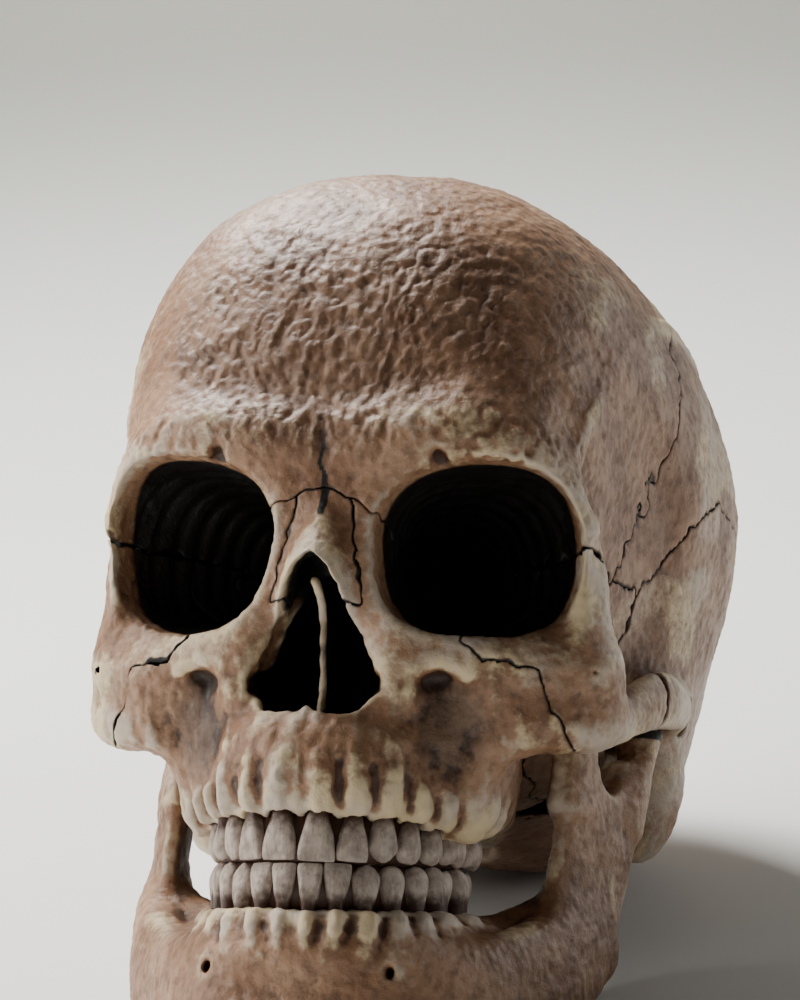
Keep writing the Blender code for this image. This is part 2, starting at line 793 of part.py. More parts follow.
def lay_down(bones):
    """Tilts the skull back, sets it on the floor and shaves small flats where it touches."""
    tilt = Matrix.Rotation(-LIE_BACK, 4, "X")
    scale = Matrix.Diagonal((MM, MM, MM, 1))
    for bone in bones.values():
        bone.data.transform(scale @ tilt)
    corners = np.array([v.co[:] for bone in bones.values() for v in bone.data.vertices])
    low, high = corners.min(0), corners.max(0)
    floor = low[2] + SHAVE * MM
    shift = Matrix.Translation((0, -(low[1] + high[1]) / 2, -floor))
    for bone in bones.values():
        bone.data.transform(shift)
        if min(v.co.z for v in bone.data.vertices) < 0:
            below = floor_block()
            keep_largest(boolean(bone, below, "DIFFERENCE"))
            drop(below)


def paint(obj, colour, roughness):
    material = bpy.data.materials.new(obj.name)
    material.use_nodes = True
    shader = material.node_tree.nodes["Principled BSDF"]
    shader.inputs["Base Color"].default_value = (*colour, 1)
    shader.inputs["Roughness"].default_value = roughness
    obj.data.materials.clear()
    obj.data.materials.append(material)


def main():
    for obj in list(bpy.data.objects):
        bpy.data.objects.remove(obj, do_unlink=True)
    rng = np.random.default_rng(TOOTH_SEED)
    bones = part_bones(cast("cranium", cranium_clay(), CRANIUM_TRIANGLES))
    bones["mandible"] = cast("mandible", mandible_clay(), MANDIBLE_TRIANGLES)
    rows = (("maxilla", UPPER_TEETH, UPPER_ARCH, True), ("mandible", LOWER_TEETH, LOWER_ARCH, False))
    for name, teeth, arch, down in rows:
        row = row_of_teeth(teeth, arch, down, rng)
        keep_largest(boolean(bones[name], row, "UNION"))
        drop(row)
    bones["nasal_septum"] = nasal_septum()
    lay_down(bones)
    for bone in bones.values():
        paint(bone, (0.36, 0.24, 0.15), 0.6)


main()
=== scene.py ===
"""Looks for the human skull cast: sculpted bones, teeth, paint, floor, light and camera.

The anatomy is worked out in millimetres about the point midway between the ear openings, x to the
skull's left, y to its back and z up, as in anatomy books. Each bone is a fine distance grid of its
own, meshed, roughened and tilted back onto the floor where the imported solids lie.
"""

import math

import bpy
import numpy as np
import openvdb
from mathutils import Matrix, Vector


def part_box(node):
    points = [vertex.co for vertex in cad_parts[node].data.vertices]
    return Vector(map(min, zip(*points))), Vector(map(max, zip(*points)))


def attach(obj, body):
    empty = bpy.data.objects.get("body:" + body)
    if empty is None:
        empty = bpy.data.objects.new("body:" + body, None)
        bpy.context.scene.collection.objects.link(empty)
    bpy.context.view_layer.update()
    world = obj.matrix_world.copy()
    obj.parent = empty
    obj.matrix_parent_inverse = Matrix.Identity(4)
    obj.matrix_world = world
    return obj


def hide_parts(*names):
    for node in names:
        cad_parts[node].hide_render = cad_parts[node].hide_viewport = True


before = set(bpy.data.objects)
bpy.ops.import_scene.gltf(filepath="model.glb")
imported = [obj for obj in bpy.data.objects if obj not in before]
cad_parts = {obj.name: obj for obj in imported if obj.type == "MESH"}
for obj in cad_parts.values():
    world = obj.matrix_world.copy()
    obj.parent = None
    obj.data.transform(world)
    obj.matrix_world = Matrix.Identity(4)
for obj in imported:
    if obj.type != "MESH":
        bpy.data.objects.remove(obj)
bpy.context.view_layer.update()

MM = 0.001
LIE_BACK = math.radians(25.0)
FAR = 40.0
# How far round a swept bar its distance is worked out.
SWEEP_MARGIN = 9.0
SEAM_GAP = 0.09
FLOOR_GAP = 0.05
SEAM_DEPTH = 3.4
FINE, MIDDLE, COARSE = 0.45, 0.6, 0.8
# The sizes of bumps that the paint's dry-brushing picks out.
SMALL_FORMS, LARGE_FORMS = 1.1, 3.0
# How much faster the painted shade deepens with depth in a hole, and in an eye socket from how far past its
# rim.
HOLE_SHADE = 1.6
SOCKET_SHADE = 2.2
SOCKET_SHADE_START = 2.0
# How far the face below the eyes leans to the skull's right, and how its eyes tilt.
SKEW = 1.4
EYE_TILT = 0.03

ARCH_Y = -47.0
UPPER_ARCH = (29.0, 46.0)
LOWER_ARCH = (28.2, 45.2)
BITE_Z = -47.6
BITE_RISE = 0.10
BITE_FRONT = -93.0
TOOTH_SIDES = 40
CORE_RINGS = 61
TOOTH_SEED = 7
# Width along the arch, thickness across it, crown height, and form.
UPPER_TEETH = (
    (8.2, 6.4, 9.0, "incisor"),
    (7.0, 5.8, 8.6, "incisor"),
    (7.4, 7.6, 9.2, "canine"),
    (6.8, 8.6, 8.0, "premolar"),
    (6.6, 8.6, 7.6, "premolar"),
    (9.6, 10.4, 7.4, "molar"),
    (9.0, 10.2, 7.0, "molar"),
)
LOWER_TEETH = (
    (5.6, 5.8, 8.2, "incisor"),
    (6.0, 6.0, 8.2, "incisor"),
    (6.8, 7.2, 8.8, "canine"),
    (6.8, 7.6, 8.0, "premolar"),
    (6.8, 7.8, 7.6, "premolar"),
    (9.8, 9.8, 7.4, "molar"),
    (9.4, 9.6, 7.2, "molar"),
)
SEPTUM_PROFILE = (
    (-94, 7.5), (-88, -1), (-84, -10), (-82.5, -16.4), (-57, -16.4), (-55, 5), (-66, 10.5),
    (-86, 8.4),
)


# Distance fields


def smooth_min(a, b, blend):
    """The smaller distance, rounded where the two are within blend of each other."""
    if blend <= 0:
        return np.minimum(a, b)
    share = np.maximum(blend - np.abs(a - b), 0) / blend
    return np.minimum(a, b) - share * share * blend * 0.25


def smooth_step(values, low, high):
    share = np.clip((values - low) / (high - low), 0, 1)
    return share * share * (3 - 2 * share)


class Shape:
    """A distance function and the box that holds its surface."""

    def __init__(self, at, low, high):
        self.at = at
        self.low = np.array(low, np.float32)
        self.high = np.array(high, np.float32)


class Clay:
    """A grid of distances that shapes are added to, cut from, and pressed into."""

    def __init__(self, low, high, step):
        self.low = np.array(low, np.float32)
        self.step = step
        count = np.ceil((np.array(high) - self.low) / step).astype(int) + 1
        self.distance = np.full(count, FAR, np.float32)
        self.uncut = self.distance
        self.hollow = self.distance

    def axes(self, where=None):
        where = where or tuple(slice(0, n) for n in self.distance.shape)
        lines = []
        for axis, part in enumerate(where):
            line_up = self.low[axis] + self.step * np.arange(part.start, part.stop, dtype=np.float32)
            lines.append(line_up.reshape([-1 if k == axis else 1 for k in range(3)]))
        return lines

    def window(self, low, high):
        first = np.maximum(np.floor((np.array(low) - self.low) / self.step).astype(int), 0)
        last = np.ceil((np.array(high) - self.low) / self.step).astype(int) + 1
        last = np.minimum(last, self.distance.shape)
        if np.any(last <= first):
            return None, None
        where = tuple(slice(a, b) for a, b in zip(first, last))
        return where, self.axes(where)

    def add(self, shape, blend=2.0, reach=6.0):
        where, axes = self.window(shape.low - blend - reach, shape.high + blend + reach)
        if where:
            self.distance[where] = smooth_min(self.distance[where], shape.at(*axes), blend)

    def cut(self, shape, blend=1.0, reach=3.0):
        where, axes = self.window(shape.low - blend - reach, shape.high + blend + reach)
        if where:
            self.distance[where] = -smooth_min(-self.distance[where], shape.at(*axes), blend)

    def swell(self, shape, height, width):
        """Raises the surface near a shape, fading over width. A negative height presses it in."""
        where, axes = self.window(shape.low - 2.0 * width, shape.high + 2.0 * width)
        if where:
            away = np.maximum(shape.at(*axes), 0) / width
            self.distance[where] -= height * np.exp(-away * away * 1.6)

    def mirrored(self, steps=None):
        """The grid with its half at x >= 0 mirrored past the middle plane, for some steps or in full."""
        steps = self.distance.shape[0] - 1 if steps is None else steps
        whole = Clay(self.low, self.low, self.step)
        for name in ("distance", "uncut", "hollow"):
            half = getattr(self, name)
            setattr(whole, name, np.concatenate([half[steps:0:-1], half], axis=0))
        whole.low[0] = -self.step * steps
        return whole


def spread(grid, radius, step):
    """A grid smoothed by a Gaussian of that radius, one axis after another."""
    sigma = radius / step
    reach = int(2.2 * sigma)
    weights = np.exp(-0.5 * (np.arange(-reach, reach + 1) / sigma) ** 2).astype(np.float32)
    weights /= weights.sum()
    for axis in range(3):
        padding = [(reach, reach) if k == axis else (0, 0) for k in range(3)]
        padded = np.pad(grid, padding, mode="edge")
        count = grid.shape[axis]
        total = np.zeros_like(grid)
        for k, weight in enumerate(weights):
            part = tuple(slice(k, k + count) if a == axis else slice(None) for a in range(3))
            total += weight * padded[part]
        grid = total
    return grid


def sample(grid, clay, points):
    """Values of a grid at points, blended between the eight nearest."""
    place = (points - clay.low) / clay.step
    place = np.clip(place, 0, np.array(grid.shape) - 1.001)
    corner = place.astype(np.int32)
    share = (place - corner).astype(np.float32)
    result = np.zeros(len(points), np.float32)
    for dx in (0, 1):
        wx = share[:, 0] if dx else 1 - share[:, 0]
        for dy in (0, 1):
            wy = share[:, 1] if dy else 1 - share[:, 1]
            for dz in (0, 1):
                wz = share[:, 2] if dz else 1 - share[:, 2]
                found = grid[corner[:, 0] + dx, corner[:, 1] + dy, corner[:, 2] + dz]
                result += found * wx * wy * wz
    return result


class Noise:
    """Smooth seeded values between about -1 and 1, that change over a spacing in mm."""

    SIDE = 64

    def __init__(self, spacing, seed):
        self.spacing = spacing
        values = np.random.default_rng(seed).uniform(-1, 1, (self.SIDE,) * 3)
        self.lattice = (3 * values).astype(np.float32)

    def _weights(self, values):
        place = np.asarray(values, np.float32) / self.spacing + 1000.0
        middle = np.floor(place + 0.5).astype(np.int64)
        off = (place - middle).astype(np.float32)
        shares = (0.5 * (0.5 - off) ** 2, 0.75 - off * off, 0.5 * (0.5 + off) ** 2)
        return middle, shares

    def at(self, x, y, z):
        """Values at scattered points."""
        found = [self._weights(v) for v in (x, y, z)]
        total = np.zeros(np.shape(x), np.float32)
        for i in range(3):
            for j in range(3):
                shared = found[0][1][i] * found[1][1][j]
                for k in range(3):
                    index = [(found[a][0] + step - 1) % self.SIDE for a, step in enumerate((i, j, k))]
                    total += shared * found[2][1][k] * self.lattice[index[0], index[1], index[2]]
        return total

    def on_grid(self, x, y, z):
        """Values over the grid whose axes are x, y and z."""
        grid = self.lattice
        for axis, values in enumerate((x, y, z)):
            middle, shares = self._weights(values.reshape(-1))
            total = 0
            for k in range(3):
                share = shares[k].reshape([-1 if a == axis else 1 for a in range(3)])
                total = total + share * np.take(grid, (middle + k - 1) % self.SIDE, axis=axis)
            grid = total
        return grid


ZIGZAG = Noise(1.5, 11)
WANDER = Noise(4.5, 12)
RAGGED = Noise(2.2, 13)


def round_distance(parts, sizes, power):
    """Distance to a superellipsoid whose coordinates from its centre are parts."""
    scaled = [np.abs(part) / size for part, size in zip(parts, sizes)]
    least = min(float(np.min(size)) for size in sizes)
    if power == 2.0:
        radius = np.sqrt(np.maximum(sum(s * s for s in scaled), 1e-9))
        slope = np.sqrt(sum((s / size) ** 2 for s, size in zip(scaled, sizes)))
        slope = slope / np.maximum(radius, 1e-4)
    else:
        radius = np.maximum(sum(s**power for s in scaled), 1e-9) ** (1 / power)
        slope = np.sqrt(sum((s ** (power - 1) / size) ** 2 for s, size in zip(scaled, sizes)))
        slope = slope / np.maximum(radius, 1e-4) ** (power - 1)
    return np.maximum((radius - 1) / np.maximum(slope, 1e-4), -least)


def ellipsoid(centre, sizes, turn=(0, 0, 0), power=2.0):
    """A rounded blob of half-lengths sizes, turned by degrees about x, then y, then z."""
    spin = Matrix.Rotation(math.radians(turn[2]), 3, "Z")
    spin = spin @ Matrix.Rotation(math.radians(turn[1]), 3, "Y")
    spin = spin @ Matrix.Rotation(math.radians(turn[0]), 3, "X")
    spin = np.array(spin, np.float32)
    middle = np.array(centre, np.float32)
    reach = np.abs(spin) @ np.array(sizes, np.float32)
    turned = any(turn)

    def at(x, y, z):
        x, y, z = x - middle[0], y - middle[1], z - middle[2]
        local = [x, y, z]
        if turned:
            local = [spin[0, k] * x + spin[1, k] * y + spin[2, k] * z for k in range(3)]
        return round_distance(local, [np.float32(size) for size in sizes], power)

    return Shape(at, middle - reach, middle + reach)


def smooth_path(stations, per_span):
    """Rows of numbers with a Catmull-Rom curve run through them."""
    rows = np.array(stations, float)
    padded = np.vstack([2 * rows[0] - rows[1], rows, 2 * rows[-1] - rows[-2]])
    path = []
    for k in range(len(rows) - 1):
        a, b, c, d = padded[k : k + 4]
        for t in np.arange(per_span) / per_span:
            square = (2 * a - 5 * b + 4 * c - d) * t * t
            cube = (3 * b - a - 3 * c + d) * t**3
            path.append(0.5 * (2 * b + (c - a) * t + square + cube))
    path.append(rows[-1])
    return np.array(path)


def sweep(stations, up=(0, 0, 1), per_span=4, power=2.0, blunt=1.0):
    """A bar through stations (x, y, z, half thickness, half height). Its height lies along up."""
    rows = smooth_path(stations, per_span).astype(np.float32)
    points = rows[:, :3]
    half = np.maximum(rows[:, 3:5], 0.3)
    reach = half.max(1, keepdims=True)
    low, high = (points - reach).min(0), (points + reach).max(0)
    up = np.array(up, np.float32)

    def at(x, y, z):
        distance = np.full(np.broadcast_shapes(x.shape, y.shape, z.shape), FAR, np.float32)
        for k in range(len(points) - 1):
            start, end = points[k], points[k + 1]
            along = end - start
            length = float(np.linalg.norm(along))
            along = along / length
            side = np.cross(along, up)
            side = side / float(np.linalg.norm(side))
            tall = np.cross(side, along)
            beyond = float(reach[k : k + 2].max()) + SWEEP_MARGIN
            least, most = np.minimum(start, end) - beyond, np.maximum(start, end) + beyond
            where, from_start = [], []
            for axis, values in enumerate((x, y, z)):
                flat = values.reshape(-1)
                first, last = np.searchsorted(flat, least[axis]), np.searchsorted(flat, most[axis])
                where.append(slice(first, last))
                shape = [-1 if j == axis else 1 for j in range(3)]
                from_start.append(flat[first:last].reshape(shape) - start[axis])
            if any(part.stop <= part.start for part in where):
                continue
            run, across, rise = (
                sum(p * d for p, d in zip(from_start, direction)) for direction in (along, side, tall)
            )
            share = np.clip(run / length, 0, 1)
            thick = half[k, 0] + (half[k + 1, 0] - half[k, 0]) * share
            high_half = half[k, 1] + (half[k + 1, 1] - half[k, 1]) * share
            cap = np.minimum(thick, high_half) * blunt
            where = tuple(where)
            new = round_distance([across, rise, run - share * length], [thick, high_half, cap], power)
            distance[where] = np.minimum(distance[where], new)
        return distance

    return Shape(at, low, high)


def line(points, per_span=3):
    """A thin thread through points, to swell or press along."""
    return sweep([(*p, 0.3, 0.3) for p in points], up=(0.13, 0.21, 1), per_span=per_span)


# The skull's forms


def arch_at(angle, arch):
    """The point of a tooth row at an angle from the midline, seen from above."""
    return arch[0] * math.sin(angle), ARCH_Y - arch[1] * math.cos(angle)


def arch_out(angle, arch):
    """The direction out of a tooth row, and its radius of curvature, at an angle."""
    out = Vector((math.sin(angle) / arch[0], -math.cos(angle) / arch[1], 0)).normalized()
    speed = math.hypot(arch[0] * math.cos(angle), arch[1] * math.sin(angle))
    return out, speed**3 / (arch[0] * arch[1])


def tooth_angles(teeth, arch):
    """The middle angle of each tooth and the angle where it ends, laid end to end on the arch."""
    angles = []
    angle = 0.0
    step = 0.002
    for width, *_ in teeth:
        ends = []
        for _ in range(2):
            run = 0.0
            while run < width * 0.5:
                before = arch_at(angle, arch)
                angle += step
                run += math.dist(before, arch_at(angle, arch))
            ends.append(angle)
        angles.append(ends)
    return angles


def bite_level(y):
    return BITE_Z + BITE_RISE * (y - BITE_FRONT)


def gum(clay, arch, inset, middle, half_height, thick, rise):
    """The ridge of bone that a row of teeth stands in."""
    stations = []
    for degrees in (0, 14, 28, 42, 56, 70, 84, 96):
        x, y = arch_at(math.radians(degrees), (arch[0] - inset, arch[1] - inset))
        z = middle + rise * (y - BITE_FRONT)
        stations.append((x, y, z, thick + 0.02 * degrees, half_height))
    clay.add(sweep(stations, per_span=2, power=3), 5)


def on_skin(clay, point, inward=0.0):
    """A point moved straight to the clay's surface, and then a little into it."""
    place = np.array([point], np.float32)
    top = clay.low + clay.step * (np.array(clay.distance.shape) - 1)
    if np.any(place[0] < clay.low) or np.any(place[0] > top):
        return tuple(place[0])
    for _ in range(4):
        slope = gradient(clay.distance, clay, place)
        place = place - slope * np.clip(sample(clay.distance, clay, place), -3, 3)[:, None]
    return tuple((place - slope * inward)[0])


def root_ridges(clay, teeth, arch, down, outset, relief_mm):
    """The ridges that the roots raise on the bone, the grooves between, and a moat round each neck."""
    way = 1 if down else -1
    for (width, _, height, form), (angle, end_angle) in zip(teeth, tooth_angles(teeth, arch)):
        long = {"incisor": 10, "canine": 12, "premolar": 9.5, "molar": 8}[form]
        if not down:
            long *= 0.7
        for turn, share, swing in ((angle, 1.0, 0.25), (end_angle, 0.9, -1.25)):
            x, y = arch_at(turn, arch)
            out, _ = arch_out(turn, arch)
            neck = bite_level(y) + way * (height + 0.8)
            path = []
            for along in (0.0, 0.3, 0.6, 1.0):
                closer = 1 - 0.14 * along
                spot = (x * closer + out.x * outset, y + out.y * outset, neck + way * long * share * along)
                path.append(on_skin(clay, spot))
            strength = relief_mm if swing > 0 else -1.15 * relief_mm
            reach = width * swing if swing > 0 else -swing
            clay.swell(line(path, 2), 0.45 * strength, reach)
            clay.swell(line(path[:3], 2), 0.7 * strength, reach)
    for (width, thick, height, _), (angle, _) in zip(teeth, tooth_angles(teeth, arch)):
        x, y = arch_at(angle, (arch[0] - thick * 0.52, arch[1] - thick * 0.52))
        neck = bite_level(y) + way * (height + 0.2)
        turn = math.degrees(math.atan2(math.sin(angle) * arch[1], math.cos(angle) * arch[0]))
        clay.cut(ellipsoid((x, y, neck), (width * 0.40, thick * 0.54, 1.8), (0, 0, turn)), 0.4)


def braincase(clay):
    clay.add(ellipsoid((0, 11, 46), (70, 79, 72.5)), 0, 60)
    clay.add(ellipsoid((0, -36, 50), (57.5, 58, 61), power=2.35), 20, 30)
    clay.add(ellipsoid((0, 8, 6), (57, 50, 26), power=2.2), 16, 30)
    clay.add(ellipsoid((18, 46, 0), (32, 34, 28)), 22, 24)
    clay.add(ellipsoid((0, -14, -8), (38, 42, 16)), 12, 20)
    clay.swell(ellipsoid((62, -44, 26), (6, 14, 16)), -4.0, 13)


def brow(clay):
    ridge = (
        (0, -90, 38, 6, 6),
        (12, -91.5, 38, 5.5, 6.5),
        (26, -90, 39.5, 5.5, 6),
        (37, -85, 37, 5.5, 6),
        (44.5, -79.5, 31.5, 5, 5.5),
        (48.5, -74.5, 24, 4.2, 4.4),
    )
    clay.add(sweep(ridge), 7)
    clay.add(ellipsoid((28, -70, 46), (17, 17, 17)), 12)


def midface(clay):
    orbit_floor = (
        (49, -69, -5, 4, 4.5),
        (39, -77, -5.9, 3.8, 4.2),
        (29, -81, -4.4, 3.8, 4),
        (20, -84, 0, 3.6, 3.8),
        (12.8, -86.5, 9.5, 3.0, 3.2),
        (10.4, -88, 19, 2.8, 3.2),
        (10.6, -88, 29, 3.6, 4),
    )
    bridge = (
        (0, -83, 34, 8.6, 9),
        (0, -83.5, 24, 6.2, 10.4),
        (0, -85.5, 16, 6.4, 11.8),
        (0, -88, 9, 7.6, 12.6),
        (0, -87.8, 5, 8.2, 11.6),
    )
    flank = (
        (6.8, -88, 24, 3.2, 3.5),
        (9.8, -87.5, 12, 3.3, 4),
        (14, -85.5, 0, 4, 4.4),
        (17.5, -83.5, -12, 4, 5),
    )
    clay.add(sweep(orbit_floor), 5)
    clay.add(ellipsoid((18, -61, -13), (17.5, 24, 26), power=2.4), 8)
    clay.add(ellipsoid((33, -72.5, -9), (13, 8, 11.5), turn=(0, 0, 22), power=2.3), 6)
    clay.add(sweep(bridge, up=(0, -1, 0)), 4)
    clay.add(sweep(flank), 6)
    clay.add(ellipsoid((0, -40, 0), (26, 30, 28)), 10)
    clay.add(ellipsoid((0, -63, -25.5), (24, 25, 5.5), power=2.6), 3)


def cheek(clay):
    outer_rim = (
        (48.5, -73, 25, 6.5, 3.0),
        (49, -68.5, 14, 7.5, 3.0),
        (49.5, -66.5, 4, 7.5, 3.4),
        (49, -67, -5, 7, 5),
    )
    lower_border_and_arch = (
        (27.5, -65, -34, 4.5, 4),
        (28, -69, -27, 4.6, 4),
        (34, -72, -20.5, 5, 4),
        (41, -71, -17.6, 5, 4.2),
        (48.5, -66.5, -16.4, 4.6, 4.3),
        (54, -56, -12.4, 3.8, 4.8),
        (58.5, -42, -6.2, 3, 5.6),
        (60.5, -28, -3, 2.8, 5.8),
        (60.5, -14, -1.6, 3, 5.2),
        (59, -2, 0, 3.4, 4.6),
        (56, 8, 3, 4, 3.6),
    )
    clay.add(sweep(outer_rim, up=(1, 0, 0)), 4)
    clay.add(ellipsoid((46, -67, -7.5), (12.5, 6, 12.5), turn=(0, 0, 38), power=2.5), 6)
    clay.add(ellipsoid((39.5, -55, 8), (6, 19, 23), turn=(0, 0, 38), power=2.4), 6)
    clay.cut(ellipsoid((50, -40, -23), (14, 18, 22), power=2.3), 5)
    clay.add(sweep(lower_border_and_arch), 5)


def nose_opening(x, y, z):
    """Pear-shaped from the front: a rounded lobe each side below, narrowing up to the nasal bones."""
    lobe = np.sqrt((np.abs(x) - 5.0) ** 2 + (z + 11.2) ** 2) - 7.7
    share = np.clip((12.5 - z) / 22.5, 0, 1)
    side = np.abs(x) - 12.7 * share**0.62
    above = np.maximum(side, np.maximum(z - 12.6 + 0.12 * x * x, -12 - z))
    opening = smooth_min(lobe, above, 2)
    opening = opening + 0.4 * RAGGED.on_grid(x, y, z)
    return np.maximum(opening, np.maximum(y + 52, -115 - y))


def openings(clay):
    orbit = (
        (32.4, -104, 14.2, 21.8, 18.8),
        (31.2, -86, 16.9, 20.6, 17.3),
        (29.6, -76, 17.8, 19.0, 17.1),
        (23.5, -62, 18.6, 13, 13.3),
        (17, -50, 19, 7, 8),
        (12, -42, 19, 3, 4),
    )
    clay.uncut = clay.distance.copy()
    clay.hollow = np.full_like(clay.distance, FAR)
    holes = (
        (sweep(orbit, up=(-0.16, 0, 1), power=2.5, blunt=0.4), 1.6),
        (Shape(nose_opening, (0, -115, -22), (16, -50, 14)), 0.7),
        (ellipsoid((0, -66, -4), (12.5, 20, 17)), 1),
        (ellipsoid((0, -88, 10), (5.5, 7.5, 9.5)), 1),
    )
    for hole, blend in holes:
        clay.cut(hole, blend)
        where, axes = clay.window(hole.low - 4, hole.high + 4)
        if where:
            clay.hollow[where] = np.minimum(clay.hollow[where], hole.at(*axes))
    clay.swell(ellipsoid((26, -79, -20), (3, 3, 5)), -3.0, 8)


def skull_base(clay):
    clay.add(ellipsoid((51, 10, -14), (8.5, 11, 19), turn=(10, 8, 0)), 6)
    clay.cut(ellipsoid((0, 17, -32), (14.5, 17.5, 16), power=2.5), 2)
    clay.add(ellipsoid((17, 3, -25), (5.5, 11, 6), turn=(0, 0, 22)), 3)
    clay.cut(ellipsoid((64, 2, -1), (14, 4, 4.6)), 1)
    clay.cut(ellipsoid((51.5, -11, -7), (8.8, 7.6, 7.8)), 2)
    wing_plate = ((13, -42, -14, 3, 9), (14, -43, -26, 2.4, 8), (15, -42, -36, 1.8, 6))
    clay.add(sweep(wing_plate, up=(0, 1, 0)), 4)


def fine_forms(clay):
    """Small forms that only the render shows: holes for nerves, ridges, and the nasal spine."""
    clay.cut(ellipsoid((24.4, -85, -10.8), (3.0, 4, 2.2), turn=(18, 0, -20)), 2.0)
    clay.swell(ellipsoid((25, -84, -12), (3, 3, 2)), -0.5, 3)
    clay.swell(line(((19.5, -87, -7.6), (24.5, -86, -6.6), (30, -83.5, -8.5))), 0.9, 1.8)
    clay.cut(ellipsoid((23.4, -93, 33.4), (1.3, 4, 1.8)), 1.5)
    spine = ((0, -82, -20.8, 2.2, 2.0), (0, -88, -20.2, 1.5, 1.7), (0, -90.6, -19.8, 0.8, 0.9))
    clay.add(sweep(spine), 1.6)
    clay.swell(line(((0, -96.5, 38), (0.5, -96, 33), (0, -94.5, 27))), -0.6, 1.4)
    temple_line = [(47.5, -78, 36), (49.5, -72, 47), (51, -60, 62)]
    temple_line += [(54, -42, 75), (58, -18, 84), (62, 10, 84)]
    clay.swell(line(temple_line), 1.1, 2.6)
    nape_line = ((3, 84, 6), (16, 80, 8), (32, 68, 6), (46, 50, 0))
    clay.swell(line(nape_line), 1.6, 4)
    clay.swell(ellipsoid((0, 86, 8), (4, 4, 4)), 2.2, 6)
    clay.swell(line(((42, 20, -23), (45, 8, -22))), -2.5, 2.5)
    clay.cut(ellipsoid((52.5, -70.5, -6), (0.6, 3, 0.6)), 0.8)
    clay.cut(ellipsoid((9, 6, -40), (1.5, 3, 12)), 1)


def cranium(low, high, step):
    clay = Clay(low, high, step)
    braincase(clay)
    brow(clay)
    midface(clay)
    cheek(clay)
    gum(clay, UPPER_ARCH, 7.5, -21.5, 9.0, 6.0, 0.04)
    gum(clay, UPPER_ARCH, 4.2, -29.9, 9.2, 5.5, 0.08)
    root_ridges(clay, UPPER_TEETH, UPPER_ARCH, True, 1.5, 1.1)
    openings(clay)
    skull_base(clay)
    fine_forms(clay)
    return clay


def jaw(low, high, step):
    clay = Clay(low, high, step)
    body = (
        (0, -85, -75, 6, 14.5),
        (9, -84.5, -75, 6, 14.5),
        (19, -80, -74.5, 5.6, 14),
        (28, -70, -73, 5.4, 12.5),
        (35.5, -56, -68.5, 5.6, 12),
        (41, -43, -63, 6, 12),
        (44.5, -32, -57.5, 5.4, 12),
        (47, -22, -53, 4, 11),
    )
    ramus = (
        (44.2, -28, -54, 15.5, 4.0),
        (45.6, -27.5, -42, 16, 3.6),
        (46.2, -26.5, -28, 16, 3.2),
        (46.5, -26, -16, 15.5, 2.8),
    )
    coronoid = ((42.6, -38.5, -28, 7, 3.0), (43.2, -38.5, -14, 5, 2.8), (44, -38, -5, 2.4, 2.2))
    condyle = ((50.2, -14.5, -28, 6, 3.2), (51.8, -11.5, -16, 4, 3.6), (52, -10.5, -7, 4, 5.6))
    behind_teeth = (
        (25, -54, -61, 5, 7),
        (28.5, -46, -60, 5.5, 7),
        (35, -39, -57, 5, 8),
        (43, -33, -54, 4, 9),
    )
    clay.add(sweep(body, power=2.6), 0, 20)
    clay.add(ellipsoid((0, -89, -83), (15, 5, 6)), 5)
    clay.add(sweep(ramus, up=(1, -0.31, 0), power=2.8), 5)
    clay.add(sweep(coronoid, up=(1, -0.31, 0)), 3)
    clay.add(sweep(condyle, up=(1, 0, 0)), 3)
    clay.cut(ellipsoid((48.5, -25.5, -3), (12, 9, 20), power=2.2), 2)
    gum(clay, LOWER_ARCH, 3.6, -62.5, 6, 4.6, 0.06)
    clay.add(sweep(behind_teeth), 4)
    root_ridges(clay, LOWER_TEETH, LOWER_ARCH, False, 1.5, 0.9)
    clay.cut(ellipsoid((18.4, -86.4, -67.9), (1.0, 4, 1.4)), 0.8)
    clay.uncut = clay.distance.copy()
    return clay


# Bones: where each begins and ends


def outline_distance(u, v, outline):
    """Distance in a plane to a closed outline, negative inside."""
    shape = np.broadcast_shapes(u.shape, v.shape)
    nearest = np.full(shape, 1e6, np.float32)
    inside = np.zeros(shape, bool)
    for k, (u1, v1) in enumerate(outline):
        u0, v0 = outline[k - 1]
        du, dv = u1 - u0, v1 - v0
        share = np.clip(((u - u0) * du + (v - v0) * dv) / (du * du + dv * dv), 0, 1)
        nearest = np.minimum(nearest, (u - u0 - share * du) ** 2 + (v - v0 - share * dv) ** 2)
        if dv:
            crosses = (v0 > v) != (v1 > v)
            inside ^= crosses & (u < u0 + (v - v0) * du / dv)
    return np.where(inside, -1, 1) * np.sqrt(nearest)


def nasal_region(x, y, z):
    front = outline_distance(x, z, ((-5.5, 25.6), (-9.5, 4), (9.5, 4), (5.5, 25.2), (0, 27.6)))
    return np.maximum(front, y + 87.5)


def zygomatic_region(x, y, z):
    front = (
        (28.5, 20), (28.5, -2), (32.6, -6.6), (38.5, -6.2), (42.9, -6.9), (44.3, -10),
        (44.8, -14.5), (47, -17.6), (48.4, -22), (49, -31), (49, -50), (90, -50), (90, 20),
    )
    above = ((26, -130), (90, -130), (90, -38), (52.5, -38), (50.5, -58), (26, -58))
    side = outline_distance(x, z, front)
    return np.maximum(np.maximum(side, outline_distance(x, y, above)), z - 20)


def temporal_region(x, y, z):
    suture = (
        (-37.7, -24), (28, -60), (31, -14), (37, 3), (41, 15), (35, 25), (27, 36), (13, 45),
        (-4, 47), (-20, 38), (-31, 20), (-33, 8), (-37.7, 4),
    )
    return np.maximum(outline_distance(y, z, suture), 32 - x)


def maxilla_region(x, y, z):
    outline = ((-130, 20), (-130, -70), (-43, -70), (-43, -24), (-51, -22), (-51, 20))
    front = ((-12.5, 10), (12.5, 10), (12.5, 21), (5.5, 25.2), (-5.5, 25.6), (-12.5, 23))
    tip = np.maximum(outline_distance(x, z, front), y + 79)
    return np.minimum(outline_distance(y, z, outline), tip)


